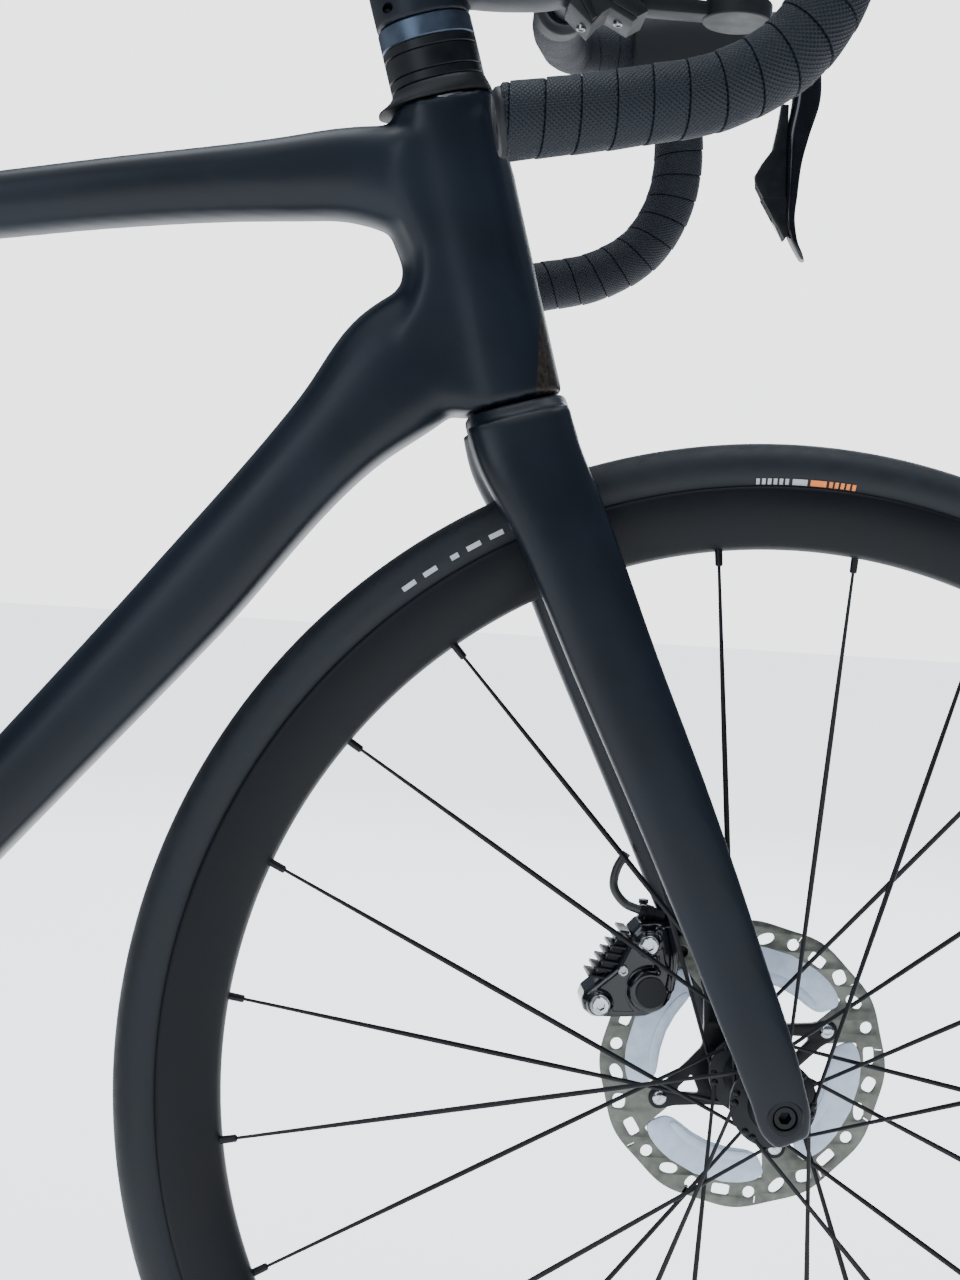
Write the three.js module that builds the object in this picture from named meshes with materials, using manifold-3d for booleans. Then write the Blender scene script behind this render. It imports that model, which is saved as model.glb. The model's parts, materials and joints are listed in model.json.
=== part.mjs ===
// Road bicycle with disc brakes, in millimetres. Each sub-part is one closed solid with its own name.
// +X points forward, +Y to the rider's left and +Z up. The origin is on the ground, midway between the axles.
import * as THREE from "three";
import { mergeVertices } from "three/addons/utils/BufferGeometryUtils.js";
import Module from "manifold-3d";

const wasm = await Module();
wasm.setup();

// Driving dimensions.
const GAP = 0.3;
const WHEELBASE = 990.7;
const TYRE_RADIUS = 339;
const CHAINSTAY_LENGTH = 415;
const BRACKET_DROP = 72;
const SEAT_ANGLE = 73.5;
const HEAD_LEAN = 17;
const FORK_RAKE = 45;
const AXLE_TO_CROWN = 377.6;
const HEAD_TUBE_LENGTH = 160;
const STEERER_RADIUS = 14.3;
const SPACER_HEIGHTS = [5, 11, 5, 11];
const COVER_HEIGHT = 8.7;
const SADDLE_HEIGHT = 740;
const BAR_HALF_WIDTH = 207;
const BAR_RADIUS = 11.1;
const TAPE_BORE = 12.8;
const TAPE_RADIUS = 15.7;
const TYRE_WIDTH = 28.4;
const RIM_TOP_RADIUS = 316;
const RIM_INNER_RADIUS = 283.3;
const RIM_HALF_WIDTH = 13.9;
const WHEEL_SEGMENTS = 40;
const SPOKES_PER_SIDE = 12;
const FIRST_NIPPLE_ANGLE = 8.4;
const SPOKE_LEAN = 68;
const SPOKE_CROSSING = 1.5;
const AXLE_RADIUS = 6;
const FRONT_HUB_HALF = 50;
const REAR_HUB_HALF = 70.7;
const FRONT_ROTOR_Y = 42;
const REAR_ROTOR_Y = 53;
const FRONT_ROTOR_RADIUS = 80;
const REAR_ROTOR_RADIUS = 70;
const ROTOR_THICKNESS = 1.8;
const CHAIN_PITCH = 12.7;
const CHAIN_Y = -47;
const CHAIN_WIDTH = 5;
const CHAIN_HALF_HEIGHT = 4.25;
const RING_TEETH = 52;
const SMALL_RING_TEETH = 36;
const COG_TEETH = [11, 12, 13, 14, 15, 16, 17, 19, 21, 24, 27, 30];
const CHAIN_COG = 5;
const COG_SPACING = 3.6;
const JOCKEY_TEETH = 11;
const CRANK_LENGTH = 172.5;

// Finishes: colour, roughness and metalness.
const finish = (color, roughness, metalness) =>
  new THREE.MeshStandardMaterial({ color, roughness, metalness });
const CARBON = finish(0x131c2a, 0.45, 0);
const GLOSS_BLACK = finish(0x0c0e12, 0.15, 0);
const SATIN_BLACK = finish(0x15181d, 0.5, 0.4);
const ANODISED = finish(0x5a6b82, 0.35, 0.8);
const RUBBER = finish(0x14161a, 0.8, 0);
const TAPE = finish(0x1b222c, 0.75, 0);
const STEEL = finish(0xa8adb3, 0.3, 1);
const ALLOY_GREY = finish(0x7f858c, 0.4, 0.9);

// Reference points.
const FRONT_X = WHEELBASE / 2;
const BRACKET_X = -WHEELBASE + Math.sqrt(CHAINSTAY_LENGTH ** 2 - BRACKET_DROP ** 2);
const BRACKET_Z = -BRACKET_DROP;
const radians = THREE.MathUtils.degToRad;
const place = (x, y, z) => new THREE.Vector3(x, y, z);
const SIDES = { left: 1, right: -1 };

// A place measured from the front axle: forward, up, and to the left.
const at = (x, z, y = 0) => place(FRONT_X + x, y, TYRE_RADIUS + z);

// Steering axis: up gives the way up the steerer, fore the way ahead of it, square to it.
const UP = place(-Math.sin(radians(HEAD_LEAN)), 0, Math.cos(radians(HEAD_LEAN)));
const FORE = place(Math.cos(radians(HEAD_LEAN)), 0, Math.sin(radians(HEAD_LEAN)));
const CROWN = at(0, 0).addScaledVector(FORE, -FORK_RAKE).addScaledVector(UP, AXLE_TO_CROWN);

// A place measured from the crown race: up the steerer, ahead of it, and to the left.
const steered = (up, fore = 0, y = 0) =>
  CROWN.clone().addScaledVector(UP, up).addScaledVector(FORE, fore).add(place(0, y, 0));

// Turns a closed geometry into a solid whose faces point out.
function solid(geometry) {
  const bare = geometry.clone();
  bare.deleteAttribute("normal");
  bare.deleteAttribute("uv");
  const merged = mergeVertices(bare, 1e-4);
  const positions = merged.attributes.position.array;
  const triangles = new Uint32Array(merged.index.array);
  let volume = 0;
  for (let i = 0; i < triangles.length; i += 3) {
    const [a, b, c] = [0, 1, 2].map((k) => new THREE.Vector3().fromArray(positions, 3 * triangles[i + k]));
    volume += a.dot(b.cross(c));
  }
  if (volume < 0) triangles.reverse();
  return new wasm.Manifold(new wasm.Mesh({ numProp: 3, vertProperties: positions, triVerts: triangles }));
}

const join = (...solids) => solids.reduce((whole, next) => whole.add(next));
const cut = (whole, ...tools) => tools.reduce((left, tool) => left.subtract(tool), whole);

// A ring of points round a centre: an oval at power 2, and a rounded box as the power grows.
function ring(centre, across, along, power, count) {
  return Array.from({ length: count }, (_, i) => {
    const angle = (2 * Math.PI * i) / count;
    const share = (value) => Math.sign(value) * Math.abs(value) ** (2 / power);
    return centre
      .clone()
      .addScaledVector(across, share(Math.cos(angle)))
      .addScaledVector(along, share(Math.sin(angle)));
  });
}

// A closed skin over rings with the same number of points, with a flat cap at each end.
function loft(rings) {
  const count = rings[0].length;
  const middle = (points) => points.reduce((sum, p) => sum.add(p), place(0, 0, 0)).divideScalar(count);
  const points = [...rings.flat(), middle(rings[0]), middle(rings.at(-1))];
  const index = [];
  for (let i = 0; i < count; i++) {
    const next = (i + 1) % count;
    for (let r = 0; r + 1 < rings.length; r++) {
      const [a, b, c, d] = [r * count + i, r * count + next, (r + 1) * count + next, (r + 1) * count + i];
      index.push(a, b, c, a, c, d);
    }
    const last = (rings.length - 1) * count;
    index.push(points.length - 2, next, i, points.length - 1, last + i, last + next);
  }
  const geometry = new THREE.BufferGeometry().setFromPoints(points);
  geometry.setIndex(index);
  return solid(geometry);
}

// A tube in or beside the bicycle's middle plane. Each station is its centre, the lean of its depth
// in degrees from +X towards +Z, its depth along that lean, and its width across the bicycle.
function tube(stations, power = 2.5, count = 10, extra = 0) {
  return loft(
    stations.map(([centre, lean, depth, width]) =>
      ring(
        centre,
        place(Math.cos(radians(lean)), 0, Math.sin(radians(lean))).multiplyScalar(depth / 2 + extra),
        place(0, width / 2 + extra, 0),
        power,
        count,
      ),
    ),
  );
}

// A rod of round section along a smooth line through points, hollow where a bore is given.
function rod(points, radius, steps, bore = 0, sides = 8) {
  const circle = (r) =>
    Array.from({ length: sides }, (_, i) =>
      new THREE.Vector2(r, 0).rotateAround(new THREE.Vector2(), (2 * Math.PI * i) / sides),
    );
  const section = new THREE.Shape(circle(radius));
  if (bore > 0) section.holes.push(new THREE.Path(circle(bore)));
  const extrudePath = new THREE.CatmullRomCurve3(points, false, "centripetal");
  return solid(new THREE.ExtrudeGeometry(section, { steps, extrudePath, bevelEnabled: false }));
}

// A round bar between two points.
function bar(from, to, radius, sides = 12, endRadius = radius) {
  const way = to.clone().sub(from);
  const geometry = new THREE.CylinderGeometry(endRadius, radius, way.length(), sides);
  geometry.translate(0, way.length() / 2, 0);
  geometry.applyQuaternion(new THREE.Quaternion().setFromUnitVectors(place(0, 1, 0), way.normalize()));
  geometry.translate(from.x, from.y, from.z);
  return solid(geometry);
}

// A box given by its lowest and highest corners.
function block(low, high) {
  const size = high.clone().sub(low);
  const middle = low.clone().add(high).divideScalar(2);
  return solid(new THREE.BoxGeometry(size.x, size.y, size.z).translate(middle.x, middle.y, middle.z));
}

// A body turned about the Y axis, from points of radius and y.
function turned(points, segments, centre = place(0, 0, 0)) {
  const profile = [...points, points[0]].map(([radius, y]) => new THREE.Vector2(radius, y));
  return solid(new THREE.LatheGeometry(profile, segments).translate(centre.x, centre.y, centre.z));
}

// A flat plate with a side outline of x and z, between two distances to the left.
function plate(outline, low, high, hole) {
  const shape = new THREE.Shape(outline.map(([x, z]) => new THREE.Vector2(x, z)));
  if (hole) shape.holes.push(new THREE.Path(hole.map(([x, z]) => new THREE.Vector2(x, z))));
  const geometry = new THREE.ExtrudeGeometry(shape, { depth: high - low, bevelEnabled: false });
  return solid(geometry.rotateX(Math.PI / 2).translate(0, high, 0));
}

const bicycle = new THREE.Group();

// Adds a solid to a group as one named mesh.
function addPart(name, shape, material, group = bicycle) {
  const made = shape.getMesh();
  const geometry = new THREE.BufferGeometry();
  geometry.setAttribute("position", new THREE.BufferAttribute(made.vertProperties, 3));
  geometry.setIndex(new THREE.BufferAttribute(made.triVerts, 1));
  const mesh = new THREE.Mesh(geometry, material);
  mesh.name = name;
  group.add(mesh);
  return mesh;
}

// A group that holds what turns about one axle, modelled round its own centre.
function groupAt(centre) {
  const group = new THREE.Group();
  group.position.copy(centre);
  bicycle.add(group);
  return group;
}

const FRONT_AXLE = at(0, 0);
const REAR_AXLE = at(-WHEELBASE, 0);
const BRACKET = at(BRACKET_X, BRACKET_Z);
const acrossBar = (centre, low, high, radius, sides = 16) =>
  bar(place(centre.x, low, centre.z), place(centre.x, high, centre.z), radius, sides);

// Main frame.
const seatLean = 90 - SEAT_ANGLE;
const onSeatTube = (z, back = 0) => at(BRACKET_X - (z - BRACKET_Z) / Math.tan(radians(SEAT_ANGLE)) - back, z);
const SEAT_TUBE_TOP = 408;
const SEAT_TUBE = [
  [onSeatTube(-62), seatLean, 42, 46],
  [onSeatTube(20), seatLean, 34, 34],
  [onSeatTube(SEAT_TUBE_TOP - 130), seatLean, 36, 28],
  [onSeatTube(SEAT_TUBE_TOP), seatLean, 39, 30],
];
const POST_SECTION = [30, 20];
const BRACKET_SHELL = { radius: 24, bore: 20.6, half: 40 };
const BOSS_RADIUS = 5.5;
const BEARING_RADIUS = 23;
const BEARING_HEIGHT = 7;
const STEERER_ROOM = 19.5;

function headTube() {
  return tube(
    [
      [steered(1), HEAD_LEAN, 52, 50],
      [steered(45), HEAD_LEAN, 53, 47],
      [steered(110), HEAD_LEAN, 55, 46],
      [steered(HEAD_TUBE_LENGTH), HEAD_LEAN, 54, 46],
    ],
    2.3,
    14,
  );
}

function topTube() {
  return tube([
    [at(-200, 456), 99, 62, 42],
    [at(-235, 462), 100, 49, 43],
    [at(-280, 455.7), 101, 41, 41],
    [at(-371, 441.5), 101, 34, 38],
    [at(-421, 432.2), 101, 32.5, 36],
    [at(-712, 375), 101, 29, 28],
  ]);
}

const DOWN_TUBE_LEAN = -38;
const DOWN_TUBE = [
  [at(-185, 390), DOWN_TUBE_LEAN, 62, 42],
  [at(-208, 368), DOWN_TUBE_LEAN, 70, 46],
  [at(-243.8, 328.1), DOWN_TUBE_LEAN, 52, 47],
  [at(-316, 236.5), DOWN_TUBE_LEAN, 48.4, 46],
  [at(-389, 148.3), DOWN_TUBE_LEAN, 44.4, 46],
  [at(-576, -72), DOWN_TUBE_LEAN, 42, 50],
];

// The block behind the head tube, whose back is the round inner corner between top tube and down tube.
function headBlock() {
  return tube([
    [at(-197, 466), 0, 74, 38],
    [at(-187, 430), 0, 70, 40],
    [at(-180.5, 412), 0, 69, 41],
    [at(-184, 390), 0, 82, 42],
  ]);
}

function bottleBoss(centre, lean, depth, along) {
  const out = place(Math.cos(radians(lean)), 0, Math.sin(radians(lean)));
  const way = place(-out.z, 0, out.x);
  const foot = centre.clone().addScaledVector(way, along);
  return bar(foot, foot.clone().addScaledVector(out, depth), BOSS_RADIUS, 8);
}

function seatPocket() {
  const section = (z) => [onSeatTube(z), seatLean, POST_SECTION[0], POST_SECTION[1]];
  return tube([section(SEAT_TUBE_TOP - 150), section(SEAT_TUBE_TOP + 30)], 3, 10, GAP);
}

function mainFrame() {
  const shell = acrossBar(BRACKET, -BRACKET_SHELL.half, BRACKET_SHELL.half, BRACKET_SHELL.radius, 20);
  const bottleCentre = at(-440, 86.7);
  const seatBottle = onSeatTube(110);
  const bosses = [-32, 32].flatMap((along) => [
    bottleBoss(bottleCentre, DOWN_TUBE_LEAN + 180, 24.5, along),
    bottleBoss(seatBottle, seatLean, 19.5, along),
  ]);
  const body = join(headTube(), topTube(), tube(DOWN_TUBE), headBlock(), tube(SEAT_TUBE), shell, ...bosses);
  const along = (low, high, radius, sides) => bar(steered(low), steered(high), radius, sides);
  const seatRadius = BEARING_RADIUS + 3 * GAP;
  return cut(
    body,
    along(-20, HEAD_TUBE_LENGTH + 20, STEERER_ROOM, 14),
    along(-20, BEARING_HEIGHT + 2, seatRadius, 16),
    along(HEAD_TUBE_LENGTH - BEARING_HEIGHT - GAP, HEAD_TUBE_LENGTH + 20, seatRadius, 16),
    acrossBar(BRACKET, -60, 60, BRACKET_SHELL.bore, 16),
    seatPocket(),
  );
}

addPart("frame_main", mainFrame(), CARBON);

// Rear triangle: chainstays and seatstays moulded together, with a plate at each end for the axle.
const DROPOUT = { radius: 16, inner: 71.3, outer: 80.8 };
const chainstayStations = (side) => [
  [at(-596, -70, side * 20), 95, 36, 16],
  [at(-655, -66, side * 27), 98, 33, 14],
  [at(-700, -59, side * 32), 99, 29, 12],
  [at(-860, -25, side * 61), 99, 23, 10],
  [at(-980, -2, side * 75.8), 99, 26, 9],
];

function stays(side) {
  const behind = (x, z, y) => at(x, z, side * y);
  const chainstay = tube(chainstayStations(side));
  const seatstay = tube([
    [behind(-700, 330, 9), 135, 26, 14],
    [behind(-745, 283, 16), 135, 20, 13],
    [behind(-792, 233, 29), 135, 17, 10],
    [behind(-900, 113, 58), 134, 16, 9],
    [behind(-984, 16, 75.8), 134, 22, 9],
  ]);
  const dropout = acrossBar(REAR_AXLE, side * DROPOUT.inner, side * DROPOUT.outer, DROPOUT.radius, 20);
  return join(chainstay, seatstay, dropout);
}

function rearTriangle() {
  const bridge = block(at(-737, 288, -14), at(-700, 330, 14));
  const yoke = block(at(-640, -86, -24), at(-596, -54, 24));
  const body = join(stays(1), stays(-1), bridge, yoke);
  return cut(
    body,
    tube(SEAT_TUBE, 2.5, 10, 2 * GAP),
    tube(DOWN_TUBE, 2.5, 10, 2 * GAP),
    acrossBar(BRACKET, -60, 60, BRACKET_SHELL.radius + 2 * GAP, 24),
    acrossBar(REAR_AXLE, -100, 100, AXLE_RADIUS + GAP),
  );
}

const rearTriangleSolid = rearTriangle();
addPart("rear_triangle", rearTriangleSolid, CARBON);

const HANGER_BOLT = at(-WHEELBASE - 8.5, -28);
function derailleurHanger() {
  const outline = [
    [REAR_AXLE.x - 16, REAR_AXLE.z - 6],
    [REAR_AXLE.x + 12, REAR_AXLE.z - 6],
    [HANGER_BOLT.x + 10, HANGER_BOLT.z - 6],
    [HANGER_BOLT.x, HANGER_BOLT.z - 10],
    [HANGER_BOLT.x - 10, HANGER_BOLT.z - 2],
  ];
  const clearDropout = acrossBar(REAR_AXLE, -100, -60, DROPOUT.radius + GAP, 20);
  return cut(plate(outline, -80.5, -73), clearDropout, rearTriangleSolid);
}
addPart("derailleur_hanger", derailleurHanger(), SATIN_BLACK);

// Seatpost, clamp and saddle.
const SADDLE_TOP = BRACKET_Z + SADDLE_HEIGHT * Math.sin(radians(SEAT_ANGLE));
const CLAMP_Z = SADDLE_TOP - 52;
const RAIL_RADIUS = 3.5;
function seatpost() {
  const [depth, width] = POST_SECTION;
  return tube(
    [
      [onSeatTube(SEAT_TUBE_TOP - 148), seatLean, depth, width],
      [onSeatTube(CLAMP_Z - 60), seatLean, depth, width],
      [onSeatTube(CLAMP_Z - 30), seatLean, depth - 2, width + 6],
      [onSeatTube(CLAMP_Z - 9), 0, 36, 36],
    ],
    3,
  );
}
addPart("seatpost", seatpost(), CARBON);

const clampCentre = onSeatTube(CLAMP_Z);
const SADDLE_STATIONS = [
  [130, -4, 14],
  [124, -1, 32],
  [90, 1, 42],
  [30, -1, 56],
  [-30, -1, 92],
  [-80, 2, 132],
  [-112, 4, 138],
  [-132, 3, 104],
];

// One slice of the saddle for each station: distance ahead of the clamp, rise, and width.
function saddleSkin(top, thickness, narrow) {
  return loft(
    SADDLE_STATIONS.map(([ahead, rise, width], i) => {
      const ends = i === 0 || i === SADDLE_STATIONS.length - 1;
      const half = (ends ? 0.6 : 1) * (thickness / 2);
      const centre = place(clampCentre.x + ahead * narrow, 0, TYRE_RADIUS + top + rise - thickness / 2);
      return ring(centre, place(0, 0, half), place(0, (width / 2) * narrow, 0), 2.6, 12);
    }),
  );
}

const PAD_THICKNESS = 24;
const BASE_THICKNESS = 7;
addPart("saddle_pad", saddleSkin(SADDLE_TOP - 4, PAD_THICKNESS, 1), RUBBER);

function railPath(y) {
  const rail = (ahead, z) => place(clampCentre.x + ahead, y, TYRE_RADIUS + z);
  const underBase = SADDLE_TOP - 4 - PAD_THICKNESS - BASE_THICKNESS / 2 - 1;
  return [
    rail(104, underBase),
    rail(82, CLAMP_Z + 9),
    rail(50, CLAMP_Z),
    rail(-40, CLAMP_Z),
    rail(-72, CLAMP_Z + 8),
    rail(-100, underBase + 3),
  ];
}
const RAIL_SIDES = [-16.5, 16.5];
const saddleRails = (radius) => RAIL_SIDES.map((y) => rod(railPath(y), radius, 8, 0, 6));
const baseSkin = saddleSkin(SADDLE_TOP - 4 - PAD_THICKNESS - 2 * GAP, BASE_THICKNESS, 0.94);
const padClear = saddleSkin(SADDLE_TOP - 4 + GAP, PAD_THICKNESS + 2 * GAP, 1.01);
addPart("saddle_base", cut(join(baseSkin, ...saddleRails(RAIL_RADIUS)), padClear), GLOSS_BLACK);

function saddleClamp() {
  const low = place(clampCentre.x - 22, -26, TYRE_RADIUS + CLAMP_Z - 8.5);
  const high = place(clampCentre.x + 22, 26, TYRE_RADIUS + CLAMP_Z + 7);
  return cut(block(low, high), ...saddleRails(RAIL_RADIUS + 3 * GAP));
}
addPart("saddle_clamp", saddleClamp(), SATIN_BLACK);

// Bearings at the bracket and in the head tube.
for (const [name, side] of Object.entries(SIDES)) {
  const cup = turned(
    [
      [12.6, side * 28],
      [20, side * 28],
      [20, side * 40.3],
      [22, side * 40.3],
      [22, side * 42.2],
      [12.6, side * 42.2],
    ],
    16,
    BRACKET,
  );
  addPart("bracket_cup_" + name, cup, SATIN_BLACK);
}

// A ring round the steerer, between two heights.
const steererRing = (low, high, bore, radius) =>
  cut(bar(steered(low), steered(high), radius, 16), bar(steered(low - 5), steered(high + 5), bore, 12));
addPart("headset_bearing_lower", steererRing(1.4, 1.4 + BEARING_HEIGHT, 17, BEARING_RADIUS), STEEL);
const upperBearing = [HEAD_TUBE_LENGTH - BEARING_HEIGHT, HEAD_TUBE_LENGTH - GAP];
addPart("headset_bearing_upper", steererRing(...upperBearing, STEERER_RADIUS + 4 * GAP, BEARING_RADIUS), STEEL);

// The oval rings of the head: the cover on the frame, then the spacers that turn with the fork.
const HEAD_DEPTH = 49;
const HEAD_WIDTH = 43;
function headRing(low, high, lowSize, highSize) {
  const section = (up, size) => [steered(up), HEAD_LEAN, HEAD_DEPTH + size, HEAD_WIDTH + size];
  const bore = bar(steered(low - 5), steered(high + 5), STEERER_RADIUS + 4 * GAP, 10);
  return cut(tube([section(low, lowSize), section(high, highSize)], 2.2, 14), bore);
}
let stackTop = HEAD_TUBE_LENGTH + GAP;
addPart("headset_cover", headRing(stackTop, stackTop + COVER_HEIGHT, 5, 1), CARBON);
stackTop += COVER_HEIGHT;
SPACER_HEIGHTS.forEach((height, i) => {
  const material = i === SPACER_HEIGHTS.length - 1 ? ANODISED : SATIN_BLACK;
  addPart("spacer_" + (i + 1), headRing(stackTop + GAP, stackTop + height, 0, 0), material);
  stackTop += height;
});

// Fork: steerer, crown and two legs that end in plates for the axle.
const FORK_END = { inner: FRONT_HUB_HALF + GAP, outer: 60 };
function forkLeg(side, extra = 0) {
  const beside = (x, z, y) => at(x, z, side * y);
  return tube(
    [
      [beside(-148, 326, 27), 17, 52, 22],
      [beside(-128, 287, 35), 22, 47, 20],
      [beside(-63, 147, 46.5), 24, 38.5, 15],
      [beside(-3, 9, 55.2), 24, 28.5, 9.6],
      [beside(2, -5, 55.2), 24, 26, 9.6],
      [beside(5.5, -13, 55.2), 24, 17, 9.6],
    ],
    2.8,
    10,
    extra,
  );
}
const leftLegRoom = forkLeg(1, 2 * GAP);

function fork() {
  const crown = tube(
    [
      [steered(0), HEAD_LEAN, 52, 50],
      [steered(-12), HEAD_LEAN, 53, 55],
      [steered(-28, 1), HEAD_LEAN, 52, 76],
      [steered(-44, 4), HEAD_LEAN, 46, 84],
    ],
    2.6,
    14,
  );
  const steererTop = stackTop + 42;
  const steerer = join(
    bar(steered(-2), steered(24), 16.2, 12),
    bar(steered(22), steered(60), 16.2, 12, STEERER_RADIUS),
    bar(steered(58), steered(steererTop), STEERER_RADIUS, 12),
  );
  const wheelRoom = turned(
    [
      [0, -21.5],
      [338, -21.5],
      [347, -13],
      [347, 13],
      [338, 21.5],
      [0, 21.5],
    ],
    36,
    FRONT_AXLE,
  );
  const body = join(forkLeg(1), forkLeg(-1), crown, steerer);
  return cut(
    body,
    wheelRoom,
    acrossBar(FRONT_AXLE, -FORK_END.inner, FORK_END.inner, 22, 12),
    acrossBar(FRONT_AXLE, -90, 90, AXLE_RADIUS + GAP),
    bar(steered(-10), steered(steererTop + 10), STEERER_RADIUS - 3, 8),
  );
}
const forkSolid = fork();
addPart("fork", forkSolid, CARBON);

function thruAxle(centre, half) {
  const socket = (side) => acrossBar(centre, side * (half - 7), side * (half + 5), 3.4, 6);
  return cut(acrossBar(centre, -half, half, AXLE_RADIUS), socket(1), socket(-1));
}
addPart("front_thru_axle", thruAxle(FRONT_AXLE, 59), SATIN_BLACK);
addPart("rear_thru_axle", thruAxle(REAR_AXLE, 80), SATIN_BLACK);

// One-piece bar and stem. The bend's points run from the bar's end of the flat top to the drop's open end.
const BAR_TOP = at(-127, 594);
const bend = (side) => [
  at(-127, 594, side * 40),
  at(-127, 594, side * 165),
  at(-117, 596, side * 192),
  at(-92, 599, side * 200),
  at(-68, 594, side * 202),
  at(-50, 570, side * 204),
  at(-44, 538, side * 206),
  at(-48, 506, side * BAR_HALF_WIDTH),
  at(-64, 477, side * BAR_HALF_WIDTH),
  at(-92, 458, side * BAR_HALF_WIDTH),
  at(-125, 449, side * BAR_HALF_WIDTH),
  at(-180, 438, side * BAR_HALF_WIDTH),
];
const bendCurve = (side) => new THREE.CatmullRomCurve3(bend(side), false, "centripetal");
const bendPoints = (side, from, to, count) =>
  Array.from({ length: count + 1 }, (_, i) => bendCurve(side).getPointAt(from + ((to - from) * i) / count));
const TAPE_START = 0.153;
const FLAT_TOP_HALF = 108.6;
const STEM = [
  [at(-212, 574), 90, 42, 38],
  [at(-168, 576), 90, 46, 42],
  [at(-138, 581), 90, 44, 50],
  [at(-114, 589), 90, 26, 56],
];

function cockpit() {
  const stemFoot = tube(
    [
      [steered(stackTop + GAP), HEAD_LEAN, HEAD_DEPTH, HEAD_WIDTH],
      [steered(stackTop + 24), HEAD_LEAN, HEAD_DEPTH, HEAD_WIDTH - 1],
      [steered(stackTop + 46, -2), HEAD_LEAN, HEAD_DEPTH - 6, HEAD_WIDTH - 5],
    ],
    2.2,
    16,
  );
  const stem = tube(STEM, 2.6, 16);
  const flat = (y, depth, height) =>
    ring(place(BAR_TOP.x, y, BAR_TOP.z), place(depth / 2, 0, 0), place(0, 0, height / 2), 2.3, 14);
  const top = loft([
    flat(-FLAT_TOP_HALF, 22, 22),
    flat(-72, 40, 23),
    flat(0, 46, 30),
    flat(72, 40, 23),
    flat(FLAT_TOP_HALF, 22, 22),
  ]);
  const bendStart = TAPE_START - 0.005;
  const ends = Object.values(SIDES).map((side) => rod(bendPoints(side, bendStart, 1, 20), BAR_RADIUS, 20));
  const steererRoom = bar(steered(stackTop - 20), steered(stackTop + 43), STEERER_RADIUS + 4 * GAP, 10);
  return cut(join(stemFoot, stem, top, ...ends), steererRoom);
}
const cockpitSolid = cockpit();
addPart("cockpit", cockpitSolid, CARBON);

// Hoods, levers and shift paddles.
const HOOD_BACK = -78;
function hood(side) {
  const on = (x, z) => at(x, z, side * 201);
  return tube(
    [
      [on(HOOD_BACK, 598), 96, 44, 43],
      [on(-52, 601), 90, 49, 43],
      [on(-18, 606), 84, 42, 36],
      [on(8, 611), 80, 40, 34],
      [on(26, 619), 74, 40, 31],
      [on(37, 628), 66, 22, 20],
    ],
    2.4,
    14,
  );
}

for (const [name, side] of Object.entries(SIDES)) {
  const tapePath = bendPoints(side, TAPE_START, 0.995, 20);
  const tape = rod(tapePath, TAPE_RADIUS, 20, TAPE_BORE);
  addPart("bar_tape_" + name, tape, TAPE);
  const tapeRoom = rod(bendPoints(side, 0.2, 0.8, 12), TAPE_RADIUS + 3, 12);
  addPart("hood_" + name, cut(hood(side), tapeRoom), RUBBER);

  const blade = (x, z) => at(x, z, side * 201);
  const lever = tube(
    [
      [blade(30, 594), 0, 20, 16],
      [blade(30.5, 575), 0, 15, 14],
      [blade(29.5, 545), 5, 12, 12],
      [blade(31, 508), 8, 11, 12],
      [blade(36, 480), 20, 5, 8],
    ],
    2.6,
    10,
  );
  addPart("brake_lever_" + name, lever, GLOSS_BLACK);
  const paddleOutline = [
    [19, 574],
    [13, 556],
    [6, 527],
    [10, 512],
    [22, 500],
    [24, 520],
    [21.5, 545],
    [21.5, 574],
  ].map(([x, z]) => [FRONT_X + x, TYRE_RADIUS + z]);
  const [low, high] = [side * 197, side * 205].sort((a, b) => a - b);
  addPart("shift_paddle_" + name, plate(paddleOutline, low, high), GLOSS_BLACK);
}

// Computer mount under the front of the bar: a foot, an arm and a round seat with a flat top.
function computerMount() {
  const foot = block(at(-138, 550, -14), at(-104, 574, 14));
  const arm = block(at(-110, 556, -7), at(-62, 563, 7));
  const seat = bar(at(-50, 555), at(-50, 565), 18, 20);
  const stemRoom = tube([...STEM, [at(-95, 600), 90, 20, 56]], 2.6, 16, 2 * GAP);
  return cut(join(foot, arm, seat), stemRoom, cockpitSolid);
}
addPart("computer_mount", computerMount(), SATIN_BLACK);

// Disc brake calipers: the front one behind the left leg, the rear one on the left chainstay.
const ROTOR_ROOM = 2.2;
const rotorRoom = (centre, y, radius) => acrossBar(centre, y - ROTOR_ROOM, y + ROTOR_ROOM, radius + 2, 28);
function frontCaliper() {
  const outline = [
    [-92, 45],
    [-90, 31],
    [-81, 24],
    [-58, 28],
    [-42, 34],
    [-47, 66],
    [-62, 76],
    [-74, 72],
    [-89, 53],
  ].map(([x, z]) => [FRONT_X + x, TYRE_RADIUS + z]);
  const body = join(plate(outline, 27, 59), acrossBar(at(-60, 40), 24, 61, 11, 12));
  return cut(body, rotorRoom(FRONT_AXLE, FRONT_ROTOR_Y, FRONT_ROTOR_RADIUS), leftLegRoom);
}
addPart("front_caliper", frontCaliper(), GLOSS_BLACK);

// The hose leaves the leg and ends a little above the caliper.
const HOSE_RADIUS = 2.5;
const hoseRoute = [at(-72, 112, 45), at(-77, 104, 44), at(-79, 92, 43), at(-76, 80, 42.5), at(-72, 75, 42.5)];
const caliperRoom = block(at(-100, 20, 20), at(-40, 76.6, 62));
const frontHose = () => cut(rod(hoseRoute, HOSE_RADIUS, 10), leftLegRoom, caliperRoom);
addPart("front_hose", frontHose(), RUBBER);

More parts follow.
